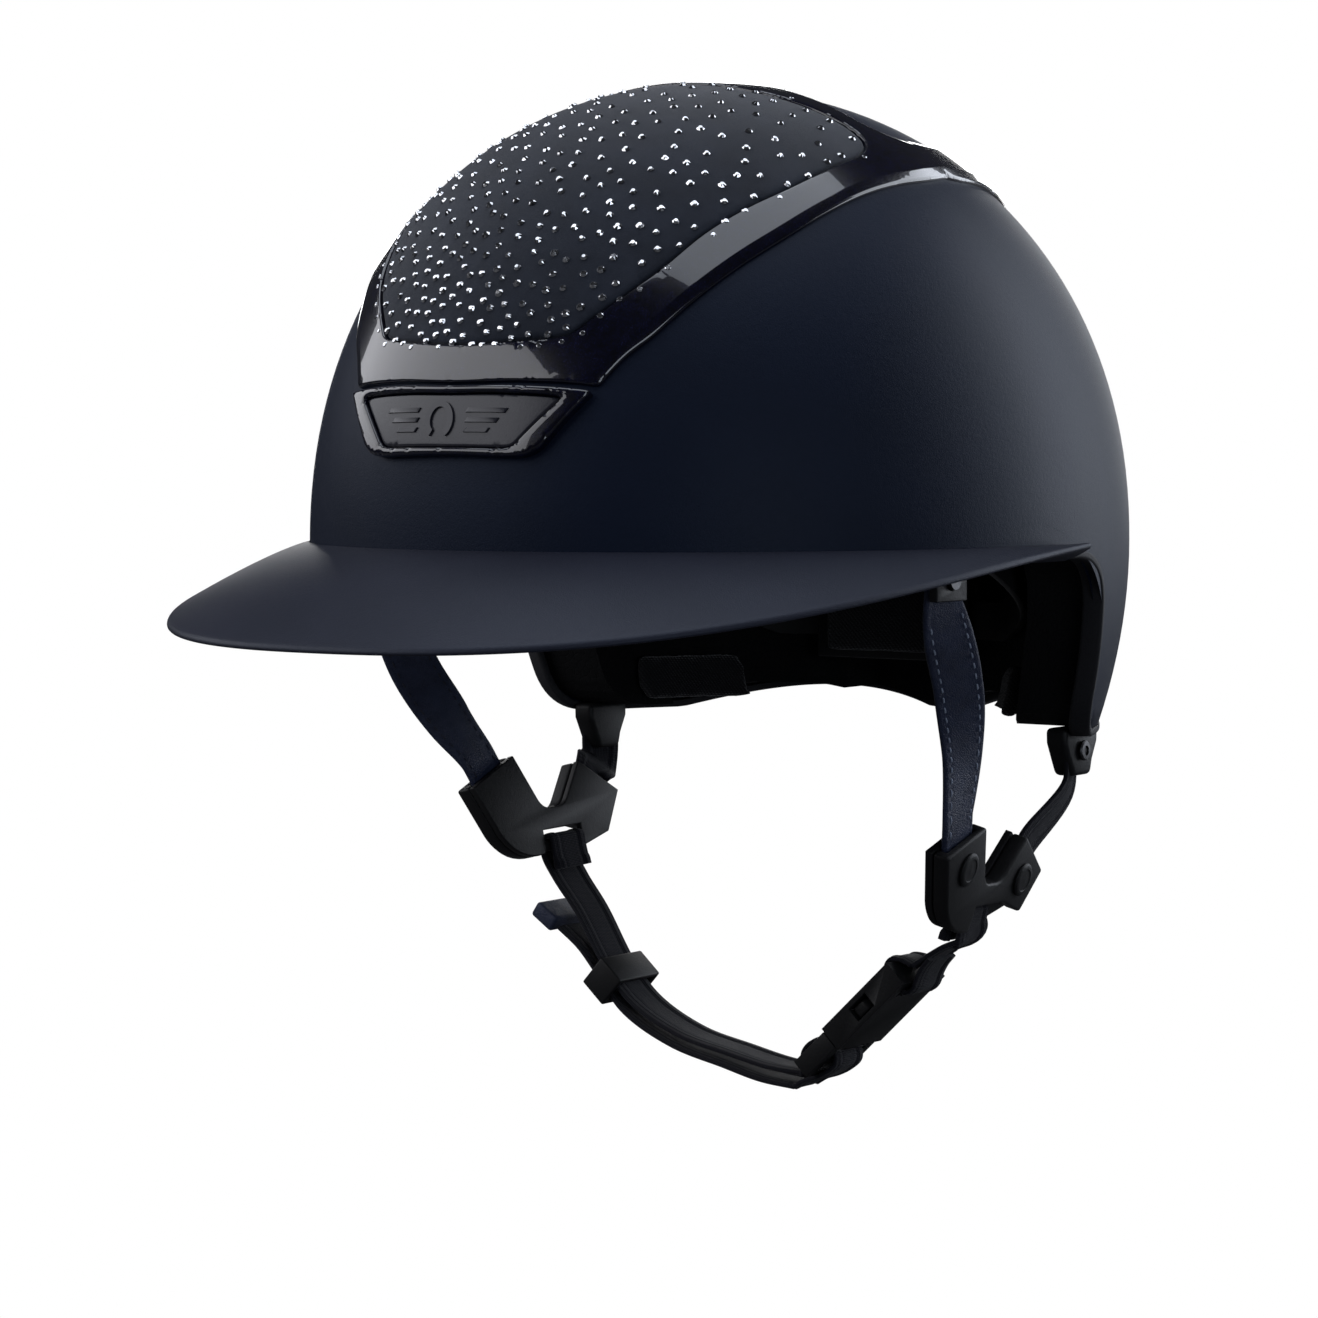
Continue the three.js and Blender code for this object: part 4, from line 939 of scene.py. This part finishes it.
def add_crystal(points, faces, at, draw):
    base, normal = surface_frame(at)
    radius = draw.uniform(0.98, 1.24)
    tilt = Vector(normal) + Vector([draw.uniform(-0.06, 0.06) for _ in range(3)])
    turn = tilt.to_track_quat("Z", "Y").to_matrix()
    spin = draw.uniform(0, math.pi)
    start = len(points)
    for height, share in ((1.2, 0.92), (1.55, 1.0), (2.15, 0.50)):
        for k in range(8):
            a = spin + (k + (0.5 if share < 0.6 else 0)) * math.pi / 4
            local = Vector((math.cos(a) * radius * share, math.sin(a) * radius * share, height))
            points.append(Vector(base) + turn @ local)
    for ring in range(2):
        for k in range(8):
            a, b = start + ring * 8 + k, start + ring * 8 + (k + 1) % 8
            c, d = a + 8, b + 8
            if ring == 0:
                faces.append((a, b, d, c))
            else:
                faces.append((a, b, c))
                faces.append((b, d, c))
    faces.append(tuple(start + 16 + k for k in range(8)))
    faces.append(tuple(start + k for k in range(8))[::-1])


crystals()


def relief(points, faces, loop, low, high, centre):
    """A raised outline on the badge: loop is (across, up) in millimetres about a bearing and rise."""
    rounded_loop = np.asarray(loop, float)
    start = len(points)
    count = len(rounded_loop)
    middle = rounded_loop.mean(0)
    for offset, shrink in ((low, 1.0), (high - 0.18, 1.0), (high, 0.90)):
        for across, up in rounded_loop:
            if shrink < 1:
                across, up = middle + (np.array([across, up]) - middle) * shrink if count < 9 else (across, up)
            bearing = math.degrees((across + centre[0]) / 128.0)
            rise = centre[1] + math.degrees(up / 133.0)
            b, r = math.radians(bearing), math.radians(rise)
            d = np.array([[math.sin(b) * math.cos(r), -math.cos(b) * math.cos(r), math.sin(r)]])
            points.append((d * dome_reach(d, offset)[:, None])[0])
    faces += tube_faces(3, count, start)


def badge_emblem():
    points, faces = [], []
    centre = (-1.5, 15.8)
    outer, inner = [], []
    for k in range(33):
        a = math.radians(-58 + 296 * k / 32)
        flare = 1 + 0.10 * abs(k / 16 - 1) ** 3
        outer.append((5.0 * flare * math.cos(a) * 0.92, 5.2 * math.sin(a)))
        inner.append((3.1 * flare * math.cos(a) * 0.92, 3.4 * math.sin(a) + 0.1))
    relief(points, faces, outer + inner[::-1], 1.9, 2.75, centre)
    for side in (-1, 1):
        for k, (length, up) in enumerate(((12.0, 2.7), (9.6, 0.0), (7.2, -2.7))):
            slant = 0.9
            near, far = 8.2 * side, (8.2 + length) * side
            bar = [(near, up - 0.65), (far, up - 0.65), (far + slant, up + 0.65), (near + slant, up + 0.65)]
            relief(points, faces, bar if side > 0 else bar[::-1], 1.9, 2.6, centre)
    return piece("badge_emblem", points, faces, "plate", "helmet", sharp=30)


badge_emblem()

# ---------------------------------------------------------------- straps


def smoothstep(value, low, high):
    t = min(max((value - low) / (high - low), 0), 1)
    return t * t * (3 - 2 * t)


class Strap:
    """A strap's centreline with its across and out directions at each step, as the solid has them."""

    def __init__(self, points, start, end, turn, steps=10):
        self.centre = catmull(points, steps)
        spans = len(points) - 1
        along = np.gradient(self.centre, axis=0)
        self.along = along / np.linalg.norm(along, axis=1)[:, None]
        self.part = np.arange(len(self.centre)) / (spans * steps)
        keys = turn if isinstance(turn, list) else [(turn[0], start), (turn[1], end)]
        across = []
        for part, t in zip(self.part, self.along):
            a = np.array(keys[0][1], float)
            for (low, _), (high, target) in zip(keys, keys[1:]):
                share = smoothstep(part, low, high)
                a = a * (1 - share) + np.array(target, float) * share
            a = a - (a @ t) * t
            across.append(a / np.linalg.norm(a))
        self.across = np.array(across)
        self.out = np.cross(self.along, self.across)
        self.length = np.concatenate([[0], np.cumsum(np.linalg.norm(np.diff(self.centre, axis=0), axis=1))])

    def sweep(self, name, section, slot, body=None, replaces=(), swell=None, material=None):
        """section(part) gives (across, out) pairs round the strap; swell scales the out values near the ends."""
        points, uv = [], []
        for i, part in enumerate(self.part):
            ring = section(part)
            thick = swell(self.length[i], self.length[-1]) if swell else 1
            for a, o in ring:
                points.append(self.centre[i] + self.across[i] * a + self.out[i] * o * thick)
                uv.append((self.length[i], a))
        faces = tube_faces(len(self.centre), len(ring), flip=True)
        return piece(name, points, faces, slot, body, replaces, sharp=70, uv=uv, material=material)

    def at(self, distance):
        i = min(int(np.searchsorted(self.length, distance)), len(self.length) - 1)
        i = max(i, 1)
        t = (distance - self.length[i - 1]) / max(self.length[i] - self.length[i - 1], 1e-9)
        mix = lambda values: values[i - 1] * (1 - t) + values[i] * t
        return mix(self.centre), mix(self.along), mix(self.across), mix(self.out)

    def stitches(self, name, lanes, faces_out, slot, body, start, stop, pitch=3.4, run=2.3, radius=0.27,
                 material="thread"):
        """Rows of stitches on both faces; lanes are the across positions."""
        points, faces = [], []
        for lane in lanes:
            for side_out in faces_out:
                distance = start
                while distance + run < stop:
                    add_stitch(points, faces, *self.between(distance, distance + run, lane, side_out), radius)
                    distance += pitch
        return piece(name, points, faces, slot, body, sharp=None, material=material)

    def between(self, a, b, lane, out):
        ends = []
        for distance in (a, (a + b) / 2, b):
            centre, _, across, outward = self.at(distance)
            ends.append((centre + across * lane + outward * out, outward * math.copysign(1, out), across))
        return ends


def add_stitch(points, faces, first, middle, last, radius):
    """A short raised stitch: a curved capsule that dips into the leather at both ends."""
    start = len(points)
    ring = 8
    stations = ((0.0, 0.35, -0.35), (0.2, 0.9, 0.05), (0.5, 1.0, 0.16), (0.8, 0.9, 0.05), (1.0, 0.35, -0.35))
    for t, size, height in stations:
        p = first[0] * (1 - t) ** 2 + middle[0] * 2 * t * (1 - t) + last[0] * t * t
        outward, across = middle[1], middle[2]
        for k in range(ring):
            a = 2 * math.pi * k / ring
            points.append(p + across * math.cos(a) * radius * size + outward * (math.sin(a) * radius * size + height))
    faces += tube_faces(len(stations), ring, start)


DIVIDER = {
    "left": {"at": (80, 18.5, -102), "lean": -2, "yaw": 4, "roll": -15, "upper": -14, "lower": -7.5},
    "right": {"at": (-80, 27, -91.5), "lean": 2, "yaw": 4, "roll": -13, "upper": -25, "lower": -11.5},
}
FRONT_ARM = {"back": -26, "up": 20.4, "lean": 26, "depth": 17}
REAR_ARM = {"back": 22.3, "up": 14, "lean": -34, "depth": 13}
CHANNEL_MIDDLE = -0.45


def divider_turn(side):
    place, mirror = DIVIDER[side], SIDES[side]
    x, y, z = (math.radians(v) for v in (place["lean"], -place["roll"] * mirror, place["yaw"] * mirror))
    return Matrix.Rotation(z, 3, "Z") @ Matrix.Rotation(y, 3, "Y") @ Matrix.Rotation(x, 3, "X")


def divider_point(side, back, up, out):
    return np.array(Vector(DIVIDER[side]["at"]) + divider_turn(side) @ Vector((out * SIDES[side], back, up)))


def divider_direction(side, back, up):
    return np.array((divider_turn(side) @ Vector((0, back, up))).normalized())


def arm_point(side, arm, distance):
    lean = math.radians(arm["lean"])
    return divider_point(side, arm["back"] + math.sin(lean) * distance, arm["up"] - math.cos(lean) * distance,
                         CHANNEL_MIDDLE)


def arm_across(side, arm):
    lean = math.radians(arm["lean"])
    return divider_direction(side, math.cos(lean), math.sin(lean))


def leather_section(width):
    """Round-edged leather with a shallow groove under each row of stitches."""
    half = width / 2
    face = []
    for k in range(21):
        a = -half + 0.9 + (width - 1.8) * k / 20
        groove = 0.16 * math.exp(-((abs(a) - (half - 2.3)) / 0.45) ** 2)
        pillow = 0.10 * (1 - (a / half) ** 2)
        face.append((a, 0.92 + pillow - groove))
    edge = [(half - 0.9 + 0.9 * math.sin(t), 0.92 * math.cos(t)) for t in (math.pi * k / 8 for k in range(1, 8))]
    other = [(a, -o) for a, o in face[::-1]]
    back = [(-a, -o) for a, o in edge]
    return face + edge + other + back


def webbing_section(width, thickness=1.6):
    """Woven webbing with a piped ridge inside each edge."""
    half, tall = width / 2, thickness / 2
    face = []
    for k in range(29):
        a = -half + 0.5 + (width - 1.0) * k / 28
        ridge = 0.34 * math.exp(-((abs(a) - (half - 2.4)) / 0.62) ** 2)
        dip = 0.20 * math.exp(-((abs(a) - (half - 3.9)) / 0.5) ** 2)
        face.append((a, tall * 0.86 + ridge - dip))
    edge = [(half - 0.5 + 0.5 * math.sin(t), tall * 0.86 * math.cos(t))
            for t in (math.pi * k / 6 for k in range(1, 6))]
    return face + edge + [(a, -o) for a, o in face[::-1]] + [(-a, -o) for a, o in edge]


STRAP_TWIST = {"left": (0.47, 0.88, 0.05), "right": (0.62, 0.78, 0.0)}
ANCHOR = {"x": 97.3, "y": -34.0, "z": -7.0}

for side, mirror in SIDES.items():
    place = DIVIDER[side]
    x = ANCHOR["x"] * mirror
    sway = 5.0 if side == "left" else 0.0
    strap = Strap([
        (x, ANCHOR["y"] - 0.8, ANCHOR["z"] + 5.4), (x, ANCHOR["y"] + 1.5, ANCHOR["z"] - 8),
        (x * 0.97, place["upper"] - sway, -37), (x * 0.935, place["lower"] - sway * 0.6, -55),
        *(arm_point(side, FRONT_ARM, d) for d in (-7, -1, 6, 16)),
    ], None, None, [(0, (0, 1, 0.2)), (0.24, STRAP_TWIST[side]), (0.30, STRAP_TWIST[side]),
                    (0.58, arm_across(side, FRONT_ARM))], steps=12)
    strap.sweep(f"front_strap_{side}", lambda part: leather_section(11 + 4.4 * min(part / 0.2, 1)), "leather",
                "harness", (f"front_strap_{side}",))
    stop = strap.length[-1] - 17
    # The far (right) strap's stitches take the darker copy of the thread: painted shade.
    tint = "thread" if side == "left" else "thread_painted_shade"
    strap.stitches(f"front_stitches_{side}", (-5.4, 5.4), (0.86, -0.86), "leather", "harness", 17, stop,
                   material=tint)
    rear = Strap([
        (86 * mirror, 61.2, -63), (85.5 * mirror, 60.2, -72.5),
        *(arm_point(side, REAR_ARM, d) for d in (-3.5, 0, 6, 12)),
    ], (-0.30 * mirror, 0.90, -0.30), arm_across(side, REAR_ARM), (0.1, 0.5), steps=12)
    rear_strap = rear.sweep(f"rear_strap_{side}", lambda part: webbing_section(14), "webbing",
                            replaces=(f"rear_strap_{side}",))
    Vector(arm_point(side, REAR_ARM, -3.5)) * MM
    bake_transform(rear_strap)


def bar_loop(side):
    inner, outer, middle = -5.2, -0.8, -3.0
    at = lambda up, out: divider_point(side, 0.35, up, out)
    return [at(-13, inner - 0.2), at(-6.8, inner), at(-4.4, inner - 0.1), at(-2.65, inner + 0.15), at(-2.2, middle),
            at(-2.65, outer - 0.15), at(-4.4, outer + 0.1), at(-8.2, outer + 0.2)]


LONG_ROUTE = [(-72, 26, -106), (-62.5, 24, -115.5), (-49.5, 21, -131.5), (-38.5, 19, -141), (-20.5, 17, -148.8),
              (-1, 15, -152.4), (15, 14, -155), (27.6, 14, -155.6)]
TAIL_ROUTE = [(24, 14, -160), (12, 14, -159), (-2, 15, -156.3), (-22.5, 17, -152.2), (-41.3, 19, -144),
              (-52.5, 21, -133.6), (-60.5, 22, -126), (-68, 22, -120.6)]
SHORT_ROUTE = [(75.5, 20, -113.4), (70.5, 17.5, -116.2), (62.4, 16, -121.6)]
ACROSS = (0, 1, 0)


def hem(length, total):
    """The sewn end of the webbing is folded double."""
    return 1 + 0.75 * (1 - smoothstep(length, 2.2, 3.4))


long_strap = Strap(bar_loop("right") + LONG_ROUTE, divider_direction("right", 1, 0), ACROSS, (0.47, 0.7))
obj = long_strap.sweep("chin_strap_long", lambda part: webbing_section(16), "webbing", replaces=("chin_strap_long",),
                       swell=hem)
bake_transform(obj)
tail_strap = Strap(TAIL_ROUTE, ACROSS, ACROSS, (0, 1))
obj = tail_strap.sweep("strap_tail", lambda part: webbing_section(16), "webbing", replaces=("strap_tail",))
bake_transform(obj)
short_strap = Strap(bar_loop("left") + SHORT_ROUTE, divider_direction("left", 1, 0), ACROSS, (0.7, 1.0))
short_strap.sweep("chin_strap_short", lambda part: webbing_section(16), "webbing", "harness", ("chin_strap_short",),
                  swell=hem)

# ---------------------------------------------------------------- webbing through the buckle

BUCKLE_START = np.array((29.0, 14.0, -154.0))
BUCKLE_ALONG = np.array((0.7115864, 0.0406621, 0.7014209))
BUCKLE_OUT = np.array((-0.7020015, 0.0, 0.7121755))
BUCKLE_ACROSS = np.cross(BUCKLE_OUT, BUCKLE_ALONG)


def on_buckle(along, out):
    return BUCKLE_START + BUCKLE_ALONG * along + BUCKLE_OUT * out


def buckle_loop(name, path, body):
    loop = Strap([on_buckle(a, o) for a, o in path], BUCKLE_ACROSS, BUCKLE_ACROSS, (0, 1), steps=8)
    return loop.sweep(name, lambda part: webbing_section(16, 1.5), "webbing", body)


buckle_loop("clip_webbing", [
    (-3.5, -0.3), (-0.5, 2.6), (1.5, 4.4), (3.5, 5.0), (6.0, 4.8), (8.4, 3.6), (9.7, 0.6), (9.5, -3.0), (7.6, -4.8),
    (4.0, -4.8), (0, -3.6), (-4, -1.7), (-7.8, -0.8),
], "clip")
buckle_loop("socket_webbing", [
    (47.2, -0.3), (45.4, 3.4), (43.2, 5.4), (40.8, 5.0), (39.2, 2.6), (39.0, 0), (39.2, -2.8), (40.8, -5.2),
    (43.4, -5.4), (46.4, -4.0), (49.5, -3.1), (53, -2.8),
], "harness")

# ---------------------------------------------------------------- hardware


def rounded(node, radius, slot, segments=3, angle=25, sharp=35, dissolve=2):
    """A CAD node's own mesh with its edges rounded over."""
    body = frame["nodes"][node]["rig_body"]
    edit = bmesh.new()
    edit.from_mesh(frame["nodes"][node].data)
    bmesh.ops.remove_doubles(edit, verts=edit.verts, dist=1e-6)
    bmesh.ops.dissolve_limit(edit, angle_limit=math.radians(dissolve), verts=edit.verts, edges=edit.edges)
    mesh = bpy.data.meshes.new(node)
    edit.to_mesh(mesh)
    edit.free()
    obj = bpy.data.objects.new(node + "_look", round_edges(mesh, radius, segments, angle, sharp))
    obj.data.materials.clear()
    obj.data.materials.append(MATERIALS[slot])
    collection.objects.link(obj)
    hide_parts(node)
    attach(obj, body)
    return obj


def round_edges(mesh, radius, segments=3, angle=25, sharp=35):
    source = bpy.data.objects.new("source", mesh)
    collection.objects.link(source)
    bevel = source.modifiers.new("round", "BEVEL")
    bevel.width = radius * MM
    bevel.segments = segments
    bevel.limit_method = "ANGLE"
    bevel.angle_limit = math.radians(angle)
    bevel.use_clamp_overlap = True
    bpy.context.view_layer.update()
    made = bpy.data.meshes.new_from_object(source.evaluated_get(bpy.context.evaluated_depsgraph_get()))
    bpy.data.objects.remove(source)
    finish_mesh(made, sharp)
    return made


def rear_guide(side):
    """The loop that carries the rear strap: wide where it meets the foam, with a waist over the strap."""
    mirror = SIDES[side]
    outline_yz = [(51.5, -53.9), (71.5, -53.9), (71.6, -58.5), (68.6, -64), (67.4, -68.4), (57.0, -68.4), (54.6, -64),
                  (51.6, -58.5)]
    points, faces = [], []
    for x in (82.6, 89.6):
        points += [(x * mirror, y, z) for y, z in outline_yz]
    count = len(outline_yz)
    faces = [(k, (k + 1) % count, (k + 1) % count + count, k + count) for k in range(count)]
    faces += [tuple(range(count))[::-1], tuple(range(count, 2 * count))]
    obj = piece(f"rear_guide_{side}", points, faces, "plastic")
    obj.data = round_edges(obj.data, 1.5)
    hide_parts(f"rear_guide_{side}")
    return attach(obj, "helmet")


for side in SIDES:
    rounded(f"divider_cover_{side}", 0.9, "plastic")
    rounded(f"divider_back_{side}", 0.6, "plastic")
    rear_guide(side)
    rounded(f"front_anchor_{side}", 0.7, "plastic")
    rounded(f"band_{side}", 0.4, "plastic", dissolve=0.5)
for node, edge_radius in (("buckle_socket", 1.6), ("buckle_clip", 1.1), ("buckle_prong_rear", 0.7),
                          ("buckle_prong_front", 0.7), ("keeper_loop", 0.6), ("strap_end_tab", 1.0),
                          ("dial_housing", 1.2), ("dial_pinion", 0.3)):
    rounded(node, edge_radius, "leather" if node == "strap_end_tab" else "plastic")


def lathe(name, profile, centre, axis, slot, body, replaces, sides=40, ribs=0, rib_depth=0.0):
    """profile is (radius, height) along axis from centre; ribs cut the widest part for grip."""
    turn = Vector(axis).to_track_quat("Z", "Y").to_matrix()
    widest = max(r for r, _ in profile)
    points = []
    for radius, height in profile:
        for k in range(sides):
            a = 2 * math.pi * k / sides
            cut = rib_depth * (0.5 + 0.5 * math.cos(ribs * a)) if ribs and radius > widest * 0.9 else 0
            local = Vector(((radius - cut) * math.cos(a), (radius - cut) * math.sin(a), height))
            points.append(Vector(centre) + turn @ local)
    return piece(name, points, tube_faces(len(profile), sides), slot, body, replaces, sharp=35)


STUD = [(4.6, 0.0), (5.0, 0.25), (5.0, 0.6), (4.7, 0.95), (4.1, 1.15), (3.4, 1.2), (3.2, 1.0), (2.9, 0.98),
        (0.4, 1.25)]
for side, mirror in SIDES.items():
    turn = divider_turn(side)
    for arm, label in ((FRONT_ARM, "front"), (REAR_ARM, "rear")):
        lean = math.radians(arm["lean"])
        at = divider_point(side, arm["back"] + math.sin(lean) * 9, arm["up"] - math.cos(lean) * 9, 3.4 + 0.05)
        lathe(f"{label}_stud_{side}", STUD, at, turn @ Vector((mirror, 0, 0)), "plastic", "harness",
              (f"{label}_stud_{side}",))
    rivet = [(2.8, 8.4), (2.8, 1.4), (4.8, 1.3), (4.8, 0.5), (4.2, 0.1), (3.0, -0.1), (1.2, 0.0), (1.0, 0.4),
             (0.2, 0.4)]
    lathe(f"front_rivet_{side}", rivet[::-1], (94.1 * mirror, -34, -7), (mirror, 0, 0), "steel", "helmet",
          (f"front_rivet_{side}",))
    screw = [(2.6, 0.0), (3.0, 0.3), (3.0, 0.9), (2.5, 1.3), (1.5, 1.35), (1.4, 0.8), (0.2, 0.8)]
    lathe(f"guide_screw_{side}", screw, (89.8 * mirror, 61.5, -60.9), (mirror, 0, 0), "steel", "helmet",
          (f"guide_screw_{side}",), sides=30)
    low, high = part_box(f"temple_pin_{side}")
    inner = min(abs(low.x), abs(high.x)) / MM
    pin = [(0.3, 0.4), (1.2, 0.4), (1.4, 0.0), (3.6, 0.0), (4.4, 0.5), (4.4, 1.6), (2.5, 1.7), (2.5, 10.6),
           (2.3, 11.0)]
    lathe(f"temple_pin_{side}", pin, (inner * mirror, -6, 8), (mirror, 0, 0), "steel", "helmet",
          (f"temple_pin_{side}",))
knob = [(9.0, 0.0), (12.0, 0.0), (12.9, 0.8), (12.9, 6.6), (12.0, 7.9), (10.6, 8.4), (8.0, 8.2), (3.0, 7.8),
        (0.4, 7.8)]
lathe("dial_knob", knob, (0, 108.4, -26), (0, 1, 0), "plastic", "dial", ("dial_knob",), sides=144, ribs=24,
      rib_depth=0.7)

# ---------------------------------------------------------------- liner and pads

frame["nodes"]["impact_liner"].data.materials.clear()
frame["nodes"]["impact_liner"].data.materials.append(MATERIALS["foam"])


CLOTH_FRAMES = 20
CLOTH_PRESSURE = 4


def pad(node, voxel, cap, inset=0.6):
    """A cloth-covered foam pad, blown up a little from a slightly smaller copy of its solid."""
    body = frame["nodes"][node]["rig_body"]
    source = frame["nodes"][node].data.copy()
    obj = bpy.data.objects.new(node + "_cover", source)
    collection.objects.link(obj)
    low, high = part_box(node)
    centre = (low + high) / 2
    for v in source.vertices:
        away = v.co - centre
        v.co -= away.normalized() * min(inset * MM, away.length * 0.2)
    remesh = obj.modifiers.new("remesh", "REMESH")
    remesh.mode = "VOXEL"
    remesh.voxel_size = voxel * MM
    bpy.context.view_layer.update()
    made = bpy.data.meshes.new_from_object(obj.evaluated_get(bpy.context.evaluated_depsgraph_get()))
    obj.modifiers.clear()
    obj.data = made
    rest = np.array([v.co for v in made.vertices])
    cloth = obj.modifiers.new("cloth", "CLOTH")
    cloth.settings.use_pressure = True
    cloth.settings.uniform_pressure_force = CLOTH_PRESSURE
    cloth.settings.effector_weights.gravity = 0
    cloth.settings.quality = 5
    cloth.point_cache.frame_start = 1
    cloth.point_cache.frame_end = CLOTH_FRAMES
    for f in range(1, CLOTH_FRAMES + 1):
        scene.frame_set(f)
    blown = bpy.data.meshes.new_from_object(obj.evaluated_get(bpy.context.evaluated_depsgraph_get()))
    obj.modifiers.clear()
    scene.frame_set(1)
    obj.data = blown
    moved = np.array([v.co for v in blown.vertices]) - rest
    far = np.linalg.norm(moved, axis=1)
    moved *= (np.minimum(far, cap * MM) / np.maximum(far, 1e-9))[:, None]
    for v, m in zip(blown.vertices, moved):
        v.co = rest[v.index] + m
    subdivide = obj.modifiers.new("smooth", "SUBSURF")
    subdivide.levels = subdivide.render_levels = 1
    bpy.context.view_layer.update()
    final = bpy.data.meshes.new_from_object(obj.evaluated_get(bpy.context.evaluated_depsgraph_get()))
    obj.modifiers.clear()
    obj.data = final
    finish_mesh(final)
    final.materials.clear()
    final.materials.append(MATERIALS["fabric"])
    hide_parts(node)
    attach(obj, body)
    return obj


pad("forehead_pad", 3.0, 1.2)
pad("crown_pad", 3.0, 1.0)
pad("cradle_pad", 3.0, 0.8)
for side in SIDES:
    pad(f"side_pad_{side}", 3.0, 1.2)
    pad(f"ear_pad_{side}", 3.0, 1.2)

# ---------------------------------------------------------------- floor, sizes

FLOOR_DROP = 0.018  # metres: room for the clip to move down when the buckle opens
FLOOR_HALF = 40

low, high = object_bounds()
floor_z = low.z - FLOOR_DROP
mesh = bpy.data.meshes.new("floor")
mesh.from_pydata([(x * FLOOR_HALF, y * FLOOR_HALF, floor_z) for x, y in ((-1, -1), (1, -1), (1, 1), (-1, 1))],
                 [], [(0, 1, 2, 3)])
mesh.materials.append(MATERIALS["floor"])
floor = bpy.data.objects.new("floor", mesh)
collection.objects.link(floor)
